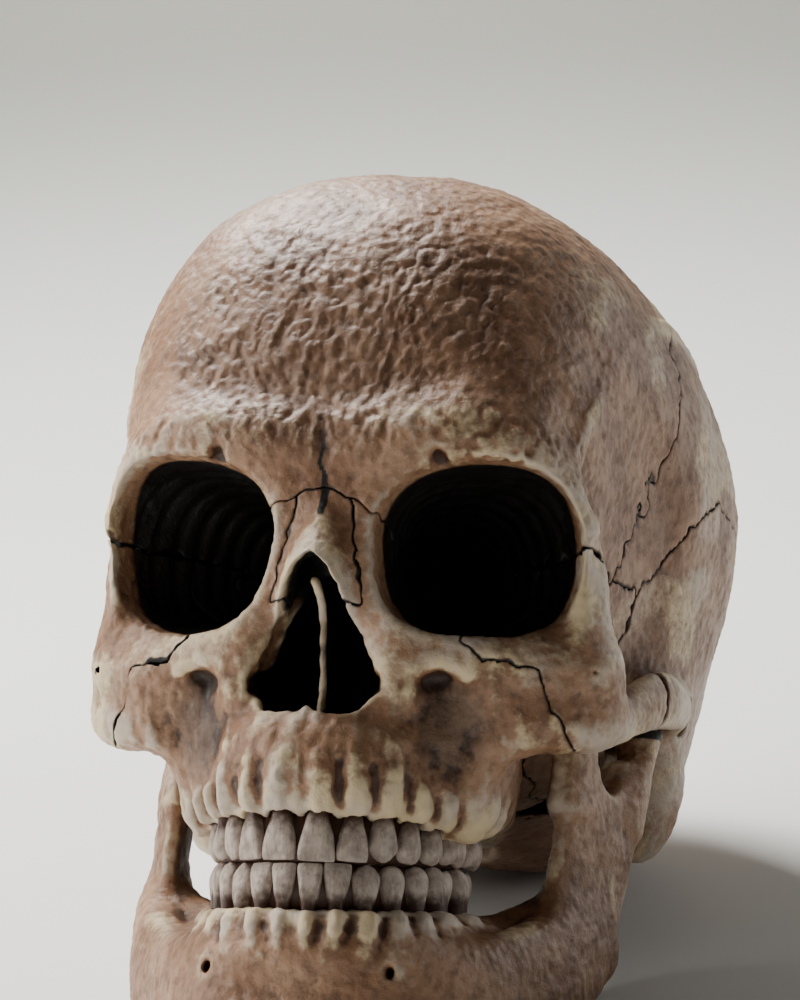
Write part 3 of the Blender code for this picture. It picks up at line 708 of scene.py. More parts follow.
def frontal_region(x, y, z):
    return outline_distance(y, z, ((-150, 20), (-45.5, 20), (-12, 118), (-4, 142), (-150, 142)))


def sphenoid_region(x, y, z):
    return outline_distance(y, z, ((-80, 20), (-80, -70), (-8, -70), (-8, -4), (-31, 4), (-33, 20)))


def occipital_region(x, y, z):
    heart = Vector((0, -7, -12))
    corners = ((0, 74, 76), (57, 40, 14), (34, -7, -40), (-34, -7, -40), (-57, 40, 14))
    rays = [Vector(corner) - heart for corner in corners]
    distance = None
    for k, ray in enumerate(rays):
        face = rays[k - 1].cross(ray).normalized()
        if face.dot(Vector((0, 1, 0.1))) > 0:
            face = -face
        plane = face.x * x + face.y * (y - heart.y) + face.z * (z - heart.z)
        distance = plane if distance is None else np.maximum(distance, plane)
    return distance


def parietal_region(x, y, z):
    return 0 * (y + z) - x


# Bone, its region, whether it is one of a pair, how far its seams zigzag, its box, and its grid.
BONES = (
    ("nasal_bones", nasal_region, False, 0.5, (-14, -105, 0), (14, -84, 34), 0.4),
    ("zygomatic", zygomatic_region, True, 0.45, (25, -92, -33), (72, -35, 24), FINE),
    ("maxilla", maxilla_region, False, 0.45, (-52, -104, -47), (52, -40, 33), FINE),
    ("temporal", temporal_region, True, 0.7, (29, -43, -37), (72, 46, 52), MIDDLE),
    ("frontal_bone", frontal_region, False, 1.1, (-64, -106, 14), (64, -2, 124), FINE),
    ("sphenoid", sphenoid_region, False, 0.6, (-64, -84, -48), (64, -4, 25), MIDDLE),
    ("occipital_bone", occipital_region, False, 1.6, (-66, -14, -36), (66, 98, 84), COARSE),
    ("parietal", parietal_region, True, 1.2, (-3, -52, -10), (74, 98, 124), COARSE),
)


def seam_fields(axes, upto):
    """The distance out of a bone's own part of the skull, with the seams of the bones before it."""
    x, y, z = axes
    zigzag = ZIGZAG.on_grid(x, y, z)
    wander = WANDER.on_grid(x, y, z)
    own = None
    for k, (_, region, paired, sway, *_) in enumerate(BONES[: upto + 1]):
        wobble = sway * (0.8 * zigzag + 0.9 * wander)
        if k == upto:
            distance = region(x, y, z) + wobble
        else:
            distance = -(region(np.abs(x) if paired else x, y, z) + wobble)
        distance = distance + SEAM_GAP / 2
        own = distance if own is None else np.maximum(own, distance)
    return own


# Meshing


def polygons_of(distance, clay):
    grid = openvdb.FloatGrid(3 * clay.step)
    band = 3 * clay.step
    grid.copyFromArray(np.clip(distance, -band, band))
    points, triangles, quads = grid.convertToPolygons(0.0, 0.0)
    points = points * clay.step + clay.low
    return points.astype(np.float32), triangles[:, ::-1], quads[:, ::-1]


NO_TRIANGLES = np.zeros((0, 3), np.int64)


def new_mesh(name, points, quads, triangles=NO_TRIANGLES):
    mesh = bpy.data.meshes.new(name)
    mesh.vertices.add(len(points))
    mesh.vertices.foreach_set("co", np.ascontiguousarray(points, np.float32).ravel())
    loops = np.concatenate([triangles.ravel(), quads.ravel()]).astype(np.int32)
    starts = np.concatenate([3 * np.arange(len(triangles)), 3 * len(triangles) + 4 * np.arange(len(quads))])
    mesh.loops.add(len(loops))
    mesh.loops.foreach_set("vertex_index", loops)
    mesh.polygons.add(len(starts))
    mesh.polygons.foreach_set("loop_start", starts.astype(np.int32))
    mesh.update(calc_edges=True)
    mesh.validate()
    mesh.shade_smooth()
    return mesh


def set_value(mesh, name, values):
    layer = mesh.attributes.new(name, "FLOAT", "POINT")
    layer.data.foreach_set("value", np.ascontiguousarray(values, np.float32))


def keep(wanted, points, faces_list):
    """Drops faces with no wanted corner, then points with no face. Gives the places of those kept."""
    kept = [faces[wanted[faces].any(1)] for faces in faces_list]
    used = np.unique(np.concatenate([faces.ravel() for faces in kept]))
    order = np.zeros(len(points), np.int64)
    order[used] = np.arange(len(used))
    return used, [order[faces] for faces in kept]


def main_sheet(points, faces_list):
    """Marks the points of the largest connected surface."""
    parent = np.arange(len(points))
    edges = [faces[:, [k, k + 1]] for faces in faces_list for k in range(faces.shape[1] - 1)]
    edges = np.concatenate(edges)
    while True:
        a, b = parent[edges[:, 0]], parent[edges[:, 1]]
        if (a == b).all():
            break
        least = np.minimum(a, b)
        np.minimum.at(parent, a, least)
        np.minimum.at(parent, b, least)
        parent = parent[parent]
    return parent == np.bincount(parent).argmax()


def gradient(grid, clay, points, reach=0.7):
    slope = np.empty((len(points), 3), np.float32)
    for axis in range(3):
        away = np.zeros(3, np.float32)
        away[axis] = reach
        slope[:, axis] = sample(grid, clay, points + away) - sample(grid, clay, points - away)
    return slope / np.maximum(np.linalg.norm(slope, axis=1, keepdims=True), 1e-6)


ROUGH = Noise(1.1, 21)
GRIT = Noise(0.75, 22)
PEBBLE = Noise(1.0, 23)
WAVE = Noise(7.0, 24)
SWELL = Noise(24.0, 25)
STREAK = Noise(1.0, 26)
PATCH = Noise(11.0, 27)


def forehead_mask(x, y, z):
    """Where the forehead is wrinkled: the middle and the viewer's left, fading to the temples."""
    away = np.sqrt(((x + 3) / 40) ** 2 + ((z - 62) / 34) ** 2)
    mask = smooth_step(-away - 0.22 * WAVE.at(x, y, z), -1.08, -0.62)
    return mask * smooth_step(z, 31, 38) * smooth_step(-y, 20, 50)


def wrinkles(x, y, z):
    """Raised strings that fan out upwards from between the brows, about 2 mm apart."""
    fan = 1 + np.maximum(z - 34, 0) / 110
    bend = 1.1 * WAVE.at(x, y, z)
    across = (x + bend) / fan
    value = PEBBLE.at(across / 0.95, y / 2.6, (z + bend) / 1.7)
    other = STREAK.at(across / 1.1, y / 2.6, z / 2.4)
    return 0.5 * value + 0.6 * np.minimum(np.abs(other) / 0.5, 1)


def broad_relief(x, y, z):
    return 0.22 * WAVE.at(x, y, z) + 0.35 * SWELL.at(x, y, z)


def relief(x, y, z):
    """How far the surface stands out at a point, in mm, beyond its smooth form."""
    height = 0.09 * ROUGH.at(x, y, z) + 0.05 * GRIT.at(x, y, z)
    height += broad_relief(x, y, z)
    face = smooth_step(-y, 60, 74)
    streaks = STREAK.at(x / 1.3, y / 1.6, z / 4.5)
    upper_jaw = face * smooth_step(-z, 2, 14) * smooth_step(z, -48, -40)
    height += 0.2 * streaks * upper_jaw
    brow_pits = face * np.exp(-(((z - 37) / 6) ** 2)) * smooth_step(np.abs(x), 6, 14)
    height -= 0.30 * brow_pits * np.maximum(STREAK.at(x / 1.1, y / 1.1, z / 1.5), 0)
    mask = forehead_mask(x, y, z)
    height += mask * (0.40 * wrinkles(x, y, z) - 0.16)
    return height


def lean(points):
    """Moves points as this cast leans: its face below the eyes to its right, its right eye higher."""
    x, y, z = points.T
    lower = smooth_step(-z, -22, 8)
    reach = np.maximum(1 - smooth_step(np.abs(x), 22, 48), smooth_step(-z, 25, 50))
    eyes = smooth_step(z, -8, 4) * smooth_step(-z, -50, -38) * smooth_step(-y, 30, 60)
    moved = points.copy()
    far_branch = smooth_step(-x, 24, 38) * smooth_step(-z, 8, 24) * smooth_step(y, -64, -50)
    moved[:, 0] -= SKEW * lower * reach + 2.0 * far_branch
    moved[:, 2] -= EYE_TILT * np.clip(x, -42, 42) * eyes
    return moved


def tilt(y, z):
    """Turns the upright skull back onto the base of its jaw and the back of its head."""
    cos, sin = math.cos(LIE_BACK), math.sin(LIE_BACK)
    return y * cos + z * sin, -y * sin + z * cos


def settle(points):
    """From the anatomical frame in millimetres to the row's frame in metres."""
    x, y, z = lean(points).T
    y, z = tilt(y, z)
    return np.stack([x * MM, (y + SHIFT[1]) * MM, np.maximum(z + SHIFT[2], FLOOR_GAP) * MM], axis=1)


def find_shift():
    """How far the tilted skull was moved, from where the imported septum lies."""
    low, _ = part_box("nasal_septum")
    tilted = [tilt(y, z) for y, z in SEPTUM_PROFILE]
    least_y, least_z = (min(values) for values in zip(*tilted))
    return (0.0, low[1] / MM - least_y, low[2] / MM - least_z)


SHIFT = find_shift()


def finish_piece(name, mesh, material, nodes):
    """Adds a mesh to the scene as a piece that rides on the root and replaces those nodes."""
    mesh.materials.append(material)
    obj = bpy.data.objects.new("sculpted_" + name, mesh)
    bpy.context.scene.collection.objects.link(obj)
    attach(obj, "root")
    if nodes:
        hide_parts(*nodes)


def sculpt(name, clay, own, material, flip=False):
    """Meshes one bone out of the skull's grid, roughens it, and stores what its paint needs."""
    distance = clay.distance
    points, triangles, quads = polygons_of(distance if own is None else np.maximum(distance, own), clay)
    wanted = sample(distance, clay, points) > -SEAM_DEPTH
    wanted &= main_sheet(points, (triangles, quads))
    used, (triangles, quads) = keep(wanted, points, (triangles, quads))
    points = points[used]
    depth = sample(distance, clay, points)
    below = -sample(clay.uncut, clay, points)
    normal = gradient(distance, clay, points)
    side = points * ((-1, 1, 1) if flip else (1, 1, 1))
    x, y, z = side.astype(np.float32).T

    near_surface = np.clip(distance, -9, 9)
    small = sample(spread(near_surface, SMALL_FORMS, clay.step), clay, points)
    coarse = Clay(clay.low, clay.low, clay.step * 3)
    coarse.distance = np.ascontiguousarray(near_surface[::3, ::3, ::3])
    large = sample(spread(coarse.distance, LARGE_FORMS, coarse.step), coarse, points)
    height = relief(x, y, z)
    mask = forehead_mask(x, y, z)
    detail = height - broad_relief(x, y, z)
    raised = 1.6 * small + 0.30 * (large - small) + detail * (0.9 - 0.45 * mask)

    # Painted shade: darker with depth below the uncut surface, faster inside holes, darker in the eye
    # sockets the further past their rims, and on the jaw's inner branches.
    in_hole = smooth_step(-sample(clay.hollow, clay, points), -1.3, -0.5)
    behind, in_socket = behind_rim(x, y, z)
    in_socket = in_socket * in_hole
    painted_shade = below * (1 + HOLE_SHADE * in_hole) * (1 - in_socket)
    painted_shade += SOCKET_SHADE * (behind - SOCKET_SHADE_START) * in_socket
    if name == "mandible":
        painted_shade = np.maximum(painted_shade, 3.4 * inner_branch(x, y, normal))
    edge = 0.0
    if own is not None:
        seam = smooth_step(sample(own, clay, points), -0.55, -0.12)
        edge = seam * (0.9 if name.startswith(("zygomatic", "nasal_bones")) else 0.4)
    cracks = np.maximum(np.maximum(edge, glabella_crack(x, y, z)), smooth_step(-depth, 0.3, 1.0))

    skin = smooth_step(depth, -1.2, -0.2) * smooth_step(-below, -6, -1)
    points = points + normal * (height * skin)[:, None]
    if flip:
        points[:, 0] *= -1
        triangles, quads = triangles[:, ::-1], quads[:, ::-1]
    mesh = new_mesh(name, settle(points), quads, triangles)
    set_value(mesh, "raised", raised)
    # The depth attribute carries the painted shade.
    set_value(mesh, "depth", np.maximum(painted_shade, 0))
    set_value(mesh, "seam", cracks)
    # The pale attribute holds wear, and a painted highlight on the brows and chin.
    set_value(mesh, "pale", wear_and_highlights(x, y, z))
    set_value(mesh, "wrinkled", mask)
    finish_piece(name, mesh, material, (name,))


def behind_rim(x, y, z):
    """How far back a point lies from the rims of the eye sockets, and whether it is beside the nose."""
    out = np.clip((np.abs(x) - 10) / 38, 0, 1.2)
    rim = -87 + 15 * out**3 - 0.26 * (z - 16)
    return y - rim, smooth_step(np.abs(x) - 0.1 * z, 6.5, 8) * smooth_step(z, -9, -6)


def near(x, y, z, centre, sizes):
    """1 at a centre, fading to 0 over about the given distances."""
    away = [((v - middle) / size) ** 2 for v, middle, size in zip((x, y, z), centre, sizes)]
    return np.exp(-sum(away))


def inner_branch(x, y, normal):
    """1 on the inner faces of the jaw's two branches, where the shade inside the mouth is painted."""
    inward = smooth_step(-normal[:, 0] * np.sign(x), 0, 0.5)
    return inward * smooth_step(y, -62, -50) * smooth_step(38 + 0.3 * (y + 42) - np.abs(x), -3, -0.5)


def glabella_crack(x, y, z):
    """The ragged crack that runs up from the nose between the brows."""
    wander = 0.5 + 0.7 * WANDER.at(0 * x, 0 * y, z) + 0.35 * ZIGZAG.at(0 * x, 0 * y, z)
    width = 0.25 + 0.45 * smooth_step(-z, -34, -24)
    line_share = smooth_step(-np.abs(x - wander), -width - 0.35, -width + 0.1)
    return line_share * smooth_step(z, 20.5, 22) * smooth_step(-z, -38, -35) * smooth_step(-y, 82, 86)


def wear_and_highlights(x, y, z):
    """Where the brown wash turns to cream: wear on the rims, gum edges, cheekbones and patches, wear and a
    painted highlight on the brows, and a painted highlight on the lit side of the chin.
    """
    ax = np.abs(x)
    # The brows: wear, and a painted highlight on their tops.
    pale = 0.34 * near(ax, y, z, (22, -94, 42), (15, 9, 4))
    pale += 0.3 * near(ax, y, z, (41, -84, 35), (9, 9, 6))
    pale += 0.35 * near(ax, y, z, (31, -84, -4), (14, 8, 3.5))
    pale += 0.45 * near(ax, y, z, (53, -62, -18), (9, 16, 5))
    upper_edge = bite_level(y) + 11.0
    pale += 0.42 * np.exp(-(((z - upper_edge) / 3.6) ** 2)) * smooth_step(-y, 50, 60)
    lower_edge = bite_level(y) - 10.6
    pale += 0.6 * np.exp(-(((z - lower_edge) / 2.4) ** 2)) * smooth_step(-y, 50, 60)
    # A painted highlight on the chin's lit side, the skull's right.
    pale += 0.6 * near(x, y, z, (-12, -90, -82), (14, 8, 8))
    patch = smooth_step(PATCH.at(x, y, z) + 0.3 * WAVE.at(x, y, z), -0.1, 0.9)
    sides = smooth_step(ax, 42, 52)
    pale += 0.6 * patch * sides
    pale += 0.15 * patch * (1 - sides)
    return np.clip(pale, 0, 1)


# Paint


class Paint:
    """Builds a material's nodes: each call adds a node and gives back its output."""

    def __init__(self, name):
        self.material = bpy.data.materials.new(name)
        self.material.use_nodes = True
        self.nodes = self.material.node_tree.nodes
        self.links = self.material.node_tree.links
        self.shader = self.nodes["Principled BSDF"]
        self.place = self.nodes.new("ShaderNodeTexCoord").outputs["Object"]

    def put(self, socket, value):
        if isinstance(value, bpy.types.NodeSocket):
            self.links.new(value, socket)
        elif socket.type == "RGBA":
            socket.default_value = (*value, 1)
        else:
            socket.default_value = value

    def node(self, kind, *values, **named):
        """A new node, with its inputs set in order or by name."""
        node = self.nodes.new("ShaderNode" + kind)
        for socket, value in zip(node.inputs, values):
            self.put(socket, value)
        for name, value in named.items():
            self.put(node.inputs[name], value)
        return node

    def surface(self, **values):
        """Sets the shader's inputs by name, a space in a name written as an underscore."""
        for name, value in values.items():
            self.put(self.shader.inputs[name.replace("_", " ")], value)

    def attribute(self, name):
        node = self.node("Attribute")
        node.attribute_name = name
        return node.outputs["Fac"]

    def noise(self, size_mm, detail=4.0, rough=0.55, stretch=(1, 1, 1), bend=0.0):
        scale = [1000 / size_mm / s for s in stretch]
        mapping = self.node("Mapping", Vector=self.place, Scale=scale)
        place = mapping.outputs["Vector"]
        node = self.node("TexNoise", Vector=place, Scale=1.0, Detail=detail, Roughness=rough)
        node.inputs["Distortion"].default_value = bend
        return node.outputs["Fac"]

    def math(self, operation, *values):
        node = self.node("Math", *values)
        node.operation = operation
        return node.outputs[0]

    def ramp(self, value, low, high, to_low=0.0, to_high=1.0):
        node = self.node("MapRange", value, low, high, to_low, to_high)
        node.interpolation_type = "SMOOTHSTEP"
        return node.outputs[0]

    def mix(self, share, a, b):
        node = self.nodes.new("ShaderNodeMix")
        node.data_type = "RGBA"
        node.clamp_factor = True
        for socket, value in ((node.inputs[0], share), (node.inputs[6], a), (node.inputs[7], b)):
            self.put(socket, value)
        return node.outputs[2]

    def bump(self, height, distance_mm, strength=1.0, under=None):
        node = self.node("Bump", Strength=strength, Distance=distance_mm * MM, Height=height)
        if under is not None:
            self.put(node.inputs["Normal"], under)
        return node.outputs["Normal"]


def colour(red, green, blue):
    """Linear values of a colour given as on a screen, 0 to 255."""
    values = []
    for part in (red, green, blue):
        part /= 255
        values.append(part / 12.92 if part <= 0.04045 else ((part + 0.055) / 1.055) ** 2.4)
    return tuple(values)


UMBER = colour(62, 36, 22)
BROWN = colour(134, 96, 68)
TAN = colour(168, 130, 100)
CREAM = colour(222, 200, 160)
GREY_CREAM = colour(196, 180, 162)
# Near black, for the dark seams and for the painted shade in holes.
NEAR_BLACK = colour(14, 8, 6)


def bone_paint():
    paint = Paint("painted_bone")
    raised, depth, seam = (paint.attribute(name) for name in ("raised", "depth", "seam"))
    pale, wrinkled = paint.attribute("pale"), paint.attribute("wrinkled")
    blotch = paint.noise(16, 5, 0.6, bend=0.4)
    mottle = paint.noise(3.2, 6, 0.65)
    speck = paint.noise(0.9, 4, 0.6)
    base = paint.mix(paint.ramp(blotch, 0.36, 0.66), BROWN, TAN)
    base = paint.mix(paint.ramp(mottle, 0.42, 0.72, 0, 0.55), base, UMBER)
    base = paint.mix(paint.math("MULTIPLY", wrinkled, 0.35), base, UMBER)
    grain = paint.math("MULTIPLY_ADD", speck, 0.5, -0.25)
    grain = paint.math("MULTIPLY_ADD", mottle, 0.5, grain)
    height = paint.math("ADD", raised, grain)
    wash = paint.ramp(height, 0.16, -0.30)
    base = paint.mix(paint.math("MULTIPLY", wash, 0.9), base, UMBER)
    # Cream on raised forms from the dry-brushing, and on the pale areas, which hold wear and a painted
    # highlight.
    wear_and_highlight = paint.math("MULTIPLY_ADD", pale, 0.75, height)
    brushed_and_highlight = paint.ramp(wear_and_highlight, 0.42, 1.0)
    light = paint.mix(paint.ramp(blotch, 0.4, 0.6), CREAM, GREY_CREAM)
    base = paint.mix(paint.math("MULTIPLY", brushed_and_highlight, 0.92), base, light)
    base = paint.mix(paint.ramp(seam, 0.1, 0.9), base, NEAR_BLACK)
    # Painted shade: near black deep in holes, in the eye sockets and on the jaw's inner branches.
    base = paint.mix(paint.ramp(depth, 0.8, 5.0), base, NEAR_BLACK)
    rough = paint.ramp(mottle, 0.3, 0.8, 0.42, 0.66)
    fine = paint.bump(speck, 0.22, 0.6)
    fine = paint.bump(paint.noise(0.45, 3, 0.6), 0.10, 0.5, fine)
    fine = paint.bump(mottle, 0.5, 0.45, fine)
    paint.surface(Base_Color=base, Roughness=rough, Specular_IOR_Level=0.5, Normal=fine)
    return paint.material


def tooth_paint():
    paint = Paint("painted_teeth")
    rise = paint.attribute("rise")
    streak = paint.noise(0.8, 4, 0.6, stretch=(1, 1, 5))
    mottle = paint.noise(2.4, 5, 0.6)
    enamel = paint.mix(paint.ramp(mottle, 0.35, 0.7), colour(188, 172, 158), colour(150, 134, 124))
    enamel = paint.mix(paint.ramp(streak, 0.45, 0.75, 0, 0.6), enamel, colour(112, 92, 80))
    stain = paint.math("MULTIPLY_ADD", mottle, 0.5, paint.math("ADD", rise, -0.25))
    base = paint.mix(paint.ramp(stain, 0.62, 1.05), enamel, UMBER)
    rough = paint.ramp(streak, 0.3, 0.8, 0.38, 0.62)
    fine = paint.bump(streak, 0.25, 0.6)
    paint.surface(Base_Color=base, Roughness=rough, Specular_IOR_Level=0.4, Normal=fine)
    return paint.material


BONE = bone_paint()
TOOTH = tooth_paint()


# Building the bones


def build_bones():
    for k, (name, _, paired, _, low, high, step) in enumerate(BONES):
        clay = cranium((max(low[0], 0), *low[1:]), high, step)
        if not paired:
            clay = clay.mirrored()
            sculpt(name, clay, seam_fields(clay.axes(), k), BONE)
            continue
        if low[0] < 0:
            clay = clay.mirrored(int(-low[0] / step))
        own = seam_fields(clay.axes(), k)
        sculpt(name + "_left", clay, own, BONE)
        sculpt(name + "_right", clay, own, BONE, flip=True)


def build_mandible():
    clay = jaw((0, -104, -98), (62, -4, 4), FINE).mirrored()
    sculpt("mandible", clay, None, BONE)


def build_septum():
    """The thin plate that divides the nose opening, bowed and frayed along its front edge."""
    clay = Clay((-4, -97, -19), (6, -52, 13), 0.35)
    x, y, z = clay.axes()
    bow = 1.6 * np.sin(math.pi * (z + 19) / 28) * (-y - 54) / 40 + 0.35 * WANDER.on_grid(x * 0, y, z)
    plate = np.abs(x - bow) - 0.55
    profile = outline_distance(y, z, SEPTUM_PROFILE) + 0.7 * RAGGED.on_grid(x * 0, y, z)
    clay.distance = -smooth_min(-plate, -profile, 0.6).astype(np.float32)
    # Painted shade: the septum darkens towards its back, inside the nose.
    clay.uncut = -1.3 * (y + 90.7 + 0.57 * z) + 0.1 * z + 0 * clay.distance
    sculpt("nasal_septum", clay, None, BONE)


# Teeth

# Along a tooth from its biting edge (0) past its neck (1) into the socket: width, thickness, and how
# far its outer face stands back, each as a share of the full width or thickness.
TOOTH_STAGES = {
    "incisor": (
        (0.00, 0.92, 0.16, 0.18),
        (0.04, 0.98, 0.24, 0.15),
        (0.18, 1.00, 0.40, 0.08),
        (0.45, 0.93, 0.66, 0.01),
        (0.75, 0.78, 0.90, 0.00),
        (0.95, 0.66, 0.96, 0.05),
        (1.25, 0.58, 0.86, 0.12),
        (1.80, 0.45, 0.55, 0.2),
    ),
    "canine": (
        (0.00, 0.26, 0.24, 0.22),
        (0.08, 0.60, 0.40, 0.15),
        (0.28, 1.00, 0.62, 0.05),
        (0.55, 0.93, 0.86, 0.00),
        (0.80, 0.78, 1.00, 0.01),
        (1.00, 0.66, 0.98, 0.06),
        (1.30, 0.60, 0.88, 0.1),
        (1.80, 0.5, 0.6, 0.2),
    ),
    "premolar": (
        (0.00, 0.55, 0.58, 0.20),
        (0.08, 0.82, 0.80, 0.10),
        (0.30, 1.00, 0.96, 0.01),
        (0.58, 0.92, 1.00, 0.00),
        (0.85, 0.76, 0.96, 0.03),
        (1.00, 0.68, 0.94, 0.05),
        (1.30, 0.62, 0.86, 0.08),
        (1.80, 0.5, 0.6, 0.2),
    ),
    "molar": (
        (0.00, 0.80, 0.70, 0.14),
        (0.08, 0.92, 0.86, 0.07),
        (0.32, 1.00, 0.98, 0.01),
        (0.58, 0.95, 1.00, 0.00),
        (0.85, 0.82, 0.96, 0.03),
        (1.00, 0.76, 0.94, 0.05),
        (1.30, 0.70, 0.88, 0.07),
        (1.80, 0.6, 0.65, 0.2),
    ),
}
CUSP_HEIGHT = {"incisor": 0.12, "canine": 0.5, "premolar": 0.8, "molar": 0.9}


def cusp_share(form, turn):
    """1 at the top of each cusp round a crown, 0 in the notches between."""
    if form == "molar":
        return np.abs(np.sin(2 * turn)) ** 0.8
    if form == "premolar":
        return np.abs(np.sin(turn)) ** 0.7
    return 1 - 0.6 * np.abs(np.cos(turn)) ** 2


def crown(tooth, angle, arch, down, side, rng):
    """One tooth as rings from the middle of its biting face, over the edge, to the end of its root."""
    width, thick, height, form = tooth
    way = 1 if down else -1
    middle = Vector((*arch_at(angle, arch), 0))
    out, radius = arch_out(angle, arch)
    twist = Matrix.Rotation(rng.normal(0, 0.04), 3, "Z")
    out = twist @ out
    tangent = Vector((-out.y, out.x, 0))
    half_width = width * 0.5 * (0.965 + 0.03 * rng.random())
    edge = bite_level(middle.y) + way * (0.08 + 0.25 * rng.random())
    neck = bite_level(middle.y) + way * (height + 0.3 * rng.normal())
    lean = rng.normal(0, 0.02)
    stages = smooth_path(TOOTH_STAGES[form], 4)
    turn = 2 * math.pi * (np.arange(TOOTH_SIDES) + 0.5) / TOOTH_SIDES
    cosine, sine = np.cos(turn), np.sin(turn)
    flat = 0.78 if form in ("incisor", "canine") else 0.72
    around = np.sign(cosine) * np.abs(cosine) ** flat
    deepness = np.sign(sine) * np.abs(sine) ** flat
    cusps = cusp_share(form, turn)
    rings = []
    first = stages[0]
    for share, sink in ((0.12, 0.9), (0.4, 0.75), (0.7, 0.3), (0.9, 0.05)):
        rings.append((first[0], first[1] * share, first[2] * share, first[3], share, sink))
    for stage in stages:
        rings.append((*stage, 1.0, 0.0))
    points, rise = [], []
    for along, wide, deep, back, cap, sink in rings:
        z = edge + (neck - edge) * along
        fade = max(0.0, 1 - along * 2.2)
        lift = CUSP_HEIGHT[form] * fade * (1 - cusps * cap) + (sink if form in ("molar", "premolar") else 0)
        across = around * half_width * wide
        depth = (deepness - 1) * thick * 0.5 * deep - back * thick
        if cap < 1:
            depth = (deepness * cap - 1) * thick * 0.5 * stages[0][2] - back * thick
        across = across + lean * (z - neck)
        across = across * (1 + depth / radius)
        for a, d, up in zip(across, depth, lift * np.ones(TOOTH_SIDES)):
            spot = middle + tangent * float(a) + out * float(d)
            points.append((spot.x * side, spot.y, z + way * float(up)))
            rise.append(along)
    return np.array(points, np.float32), np.array(rise, np.float32), len(rings)


def tube_faces(rings, sides):
    """The four-cornered faces of a tube, whose points lie ring after ring."""
    ring, k = np.meshgrid(np.arange(rings - 1), np.arange(sides), indexing="ij")
    a, b = ring * sides + k, ring * sides + (k + 1) % sides
    return np.stack([a, b, b + sides, a + sides], axis=-1).reshape(-1, 4)


def tooth_core(teeth, arch, down):
    """The band that joins a row of cast teeth behind their faces, as rings along the arch."""
    way = 1 if down else -1
    last = math.degrees(tooth_angles(teeth, arch)[-1][0])
    corners = ((1.0, 0.1), (1.4, 3.0), (1.0, 9.0), (-1.0, 9.0), (-1.4, 3.0), (-1.0, 0.1))
    points = []
    for degrees in np.linspace(-last, last, CORE_RINGS):
        angle = math.radians(degrees)
        x, y = arch_at(angle, arch)
        out, _ = arch_out(angle, arch)
        back = 3.0 + 1.2 * min(abs(degrees) / last, 1)
        for across, rise in corners:
            level = bite_level(y) + way * rise
            points.append((x - out.x * (back - across), y - out.y * (back - across), level))
    ends = np.array([[0, 5, 2, 1], [5, 4, 3, 2]])
    faces = tube_faces(CORE_RINGS, len(corners))
    faces = np.concatenate([faces, ends, (CORE_RINGS - 1) * len(corners) + ends[:, ::-1]])
    return np.array(points, np.float32), faces if down else faces[:, ::-1]


def build_teeth(name, teeth, arch, down, rng):
    points, rise, quads = [], [], []
    start = 0
    for side in (-1, 1):
        for tooth, (angle, _) in zip(teeth, tooth_angles(teeth, arch)):
            spots, along, rings = crown(tooth, angle, arch, down, side, rng)
            x, y, z = spots.T
            spots[:, 1] += 0.10 * ROUGH.at(x, y, z / 3)
            spots[:, 0] += 0.08 * GRIT.at(x, y, z / 3)
            points.append(spots)
            rise.append(along)
            faces = tube_faces(rings, TOOTH_SIDES)[:, [0, 3, 2, 1]]
            outward = (side > 0) == down
            quads.append(start + (faces if outward else faces[:, ::-1]))
            start += len(spots)
    spots, faces = tooth_core(teeth, arch, down)
    points.append(spots)
    rise.append(np.full(len(spots), 1.6, np.float32))
    quads.append(start + faces)
    mesh = new_mesh(name, settle(np.concatenate(points)), np.concatenate(quads))
    set_value(mesh, "rise", np.concatenate(rise))
    finish_piece(name, mesh, TOOTH, ())


# Stage

# How the upright skull is turned, in radians, and moved, in mm, before a camera that looks along y.
CAMERA_YAW, CAMERA_PITCH, CAMERA_ROLL = -0.24853, -0.26231, 0.05303
CAMERA_OFFSET = (4.96, 622.06, -48.42)
CAMERA_LENS = 97.2

# The floor in metres: its front edge, how far back its wall stands, its bend, height and half width.
FLOOR_FRONT, FLOOR_BACK, FLOOR_BEND, WALL_TOP, FLOOR_HALF = -1.6, 0.9, 0.35, 1.6, 2.2
BEND_STEPS = 12


def camera_place():
    """Where the photograph was taken from, fitted in the anatomical frame and tilted with the skull."""
    view = Matrix.Translation(Vector(CAMERA_OFFSET) * MM) @ Matrix.Rotation(CAMERA_ROLL, 4, "Y")
    view = view @ Matrix.Rotation(CAMERA_PITCH, 4, "X") @ Matrix.Rotation(CAMERA_YAW, 4, "Z")
    lying = Matrix.Translation(Vector(SHIFT) * MM) @ Matrix.Rotation(-LIE_BACK, 4, "X")
    return lying @ view.inverted() @ Matrix.Rotation(math.radians(90), 4, "X")


def add_camera():
    camera = bpy.data.cameras.new("camera")
    camera.sensor_fit = "VERTICAL"
    camera.sensor_height = 36.0
    camera.lens = CAMERA_LENS
    camera.clip_start = 0.01
    obj = bpy.data.objects.new("camera", camera)
    obj.matrix_world = camera_place()
    bpy.context.scene.collection.objects.link(obj)
    bpy.context.scene.camera = obj


# Name, place and the point it faces in metres, width, watts, and tint.
LIGHTS = (
    ("key", (-0.42, 0.42, 0.95), (0, 0, 0.12), 0.4, 29, (1, 0.98, 0.95)),
    ("left", (-0.95, -0.30, 0.40), (0, 0, 0.1), 0.45, 8.5, (1, 0.97, 0.93)),
    ("rim", (0.75, 0.60, 0.30), (0, 0, 0.1), 0.4, 1.8, (0.97, 0.98, 1)),
    ("fill", (-0.5, -1.0, 0.40), (0, 0, 0.1), 0.8, 0.7, (1, 0.95, 0.9)),
    ("wall", (-0.7, 0.2, 1.1), (-0.5, 0.5, 0.0), 0.8, 5, (1, 1, 0.98)),
)


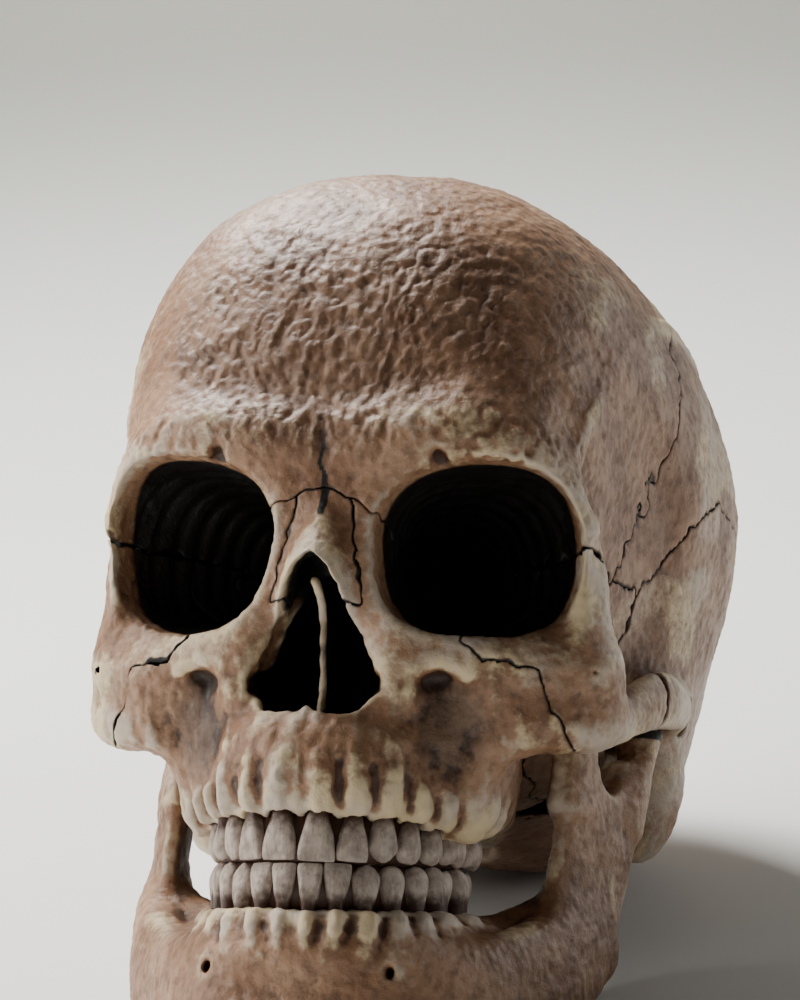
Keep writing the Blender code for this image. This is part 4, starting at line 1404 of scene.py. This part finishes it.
def soft_light(name, place, target, size, watts, tint):
    light = bpy.data.lights.new(name, "AREA")
    light.size = size
    light.energy = watts
    light.color = tint
    obj = bpy.data.objects.new(name, light)
    obj.location = place
    direction = Vector(target) - Vector(place)
    obj.rotation_mode = "QUATERNION"
    obj.rotation_quaternion = direction.to_track_quat("-Z", "Y")
    bpy.context.scene.collection.objects.link(obj)


def add_stage():
    """A pale floor that curves up into a wall behind."""
    paint = Paint("pale_floor")
    tone = paint.mix(paint.noise(180, 3), colour(224, 225, 223), colour(216, 217, 214))
    level = paint.node("SeparateXYZ", paint.place).outputs["Z"]
    # Painted shade: the sweep turns darker grey up the wall, towards its top.
    tone = paint.mix(paint.ramp(level, -0.02, 0.22), tone, colour(140, 141, 134))
    paint.surface(Base_Color=tone, Roughness=0.8)
    bend_start = FLOOR_BACK - FLOOR_BEND
    profile = [(FLOOR_FRONT, 0.0), (bend_start, 0.0)]
    for k in range(1, BEND_STEPS + 1):
        turn = 0.5 * math.pi * k / BEND_STEPS
        profile.append((bend_start + FLOOR_BEND * math.sin(turn), FLOOR_BEND * (1 - math.cos(turn))))
    profile.append((FLOOR_BACK, WALL_TOP))
    points = [(x, y, z) for y, z in profile for x in (-FLOOR_HALF, FLOOR_HALF)]
    quads = [(2 * k, 2 * k + 1, 2 * k + 3, 2 * k + 2) for k in range(len(profile) - 1)]
    mesh = new_mesh("floor", np.array(points), np.array(quads))
    mesh.materials.append(paint.material)
    floor = bpy.data.objects.new("floor", mesh)
    bpy.context.scene.collection.objects.link(floor)


def add_light():
    world = bpy.data.worlds.new("studio")
    bpy.context.scene.world = world
    world.use_nodes = True
    background = world.node_tree.nodes["Background"]
    background.inputs["Color"].default_value = (0.9, 0.93, 1.0, 1)
    background.inputs["Strength"].default_value = 0.06
    for light in LIGHTS:
        soft_light(*light)


build_bones()
build_mandible()
build_septum()
tooth_rng = np.random.default_rng(TOOTH_SEED)
build_teeth("upper_teeth", UPPER_TEETH, UPPER_ARCH, True, tooth_rng)
build_teeth("lower_teeth", LOWER_TEETH, LOWER_ARCH, False, tooth_rng)
add_stage()
add_light()
add_camera()
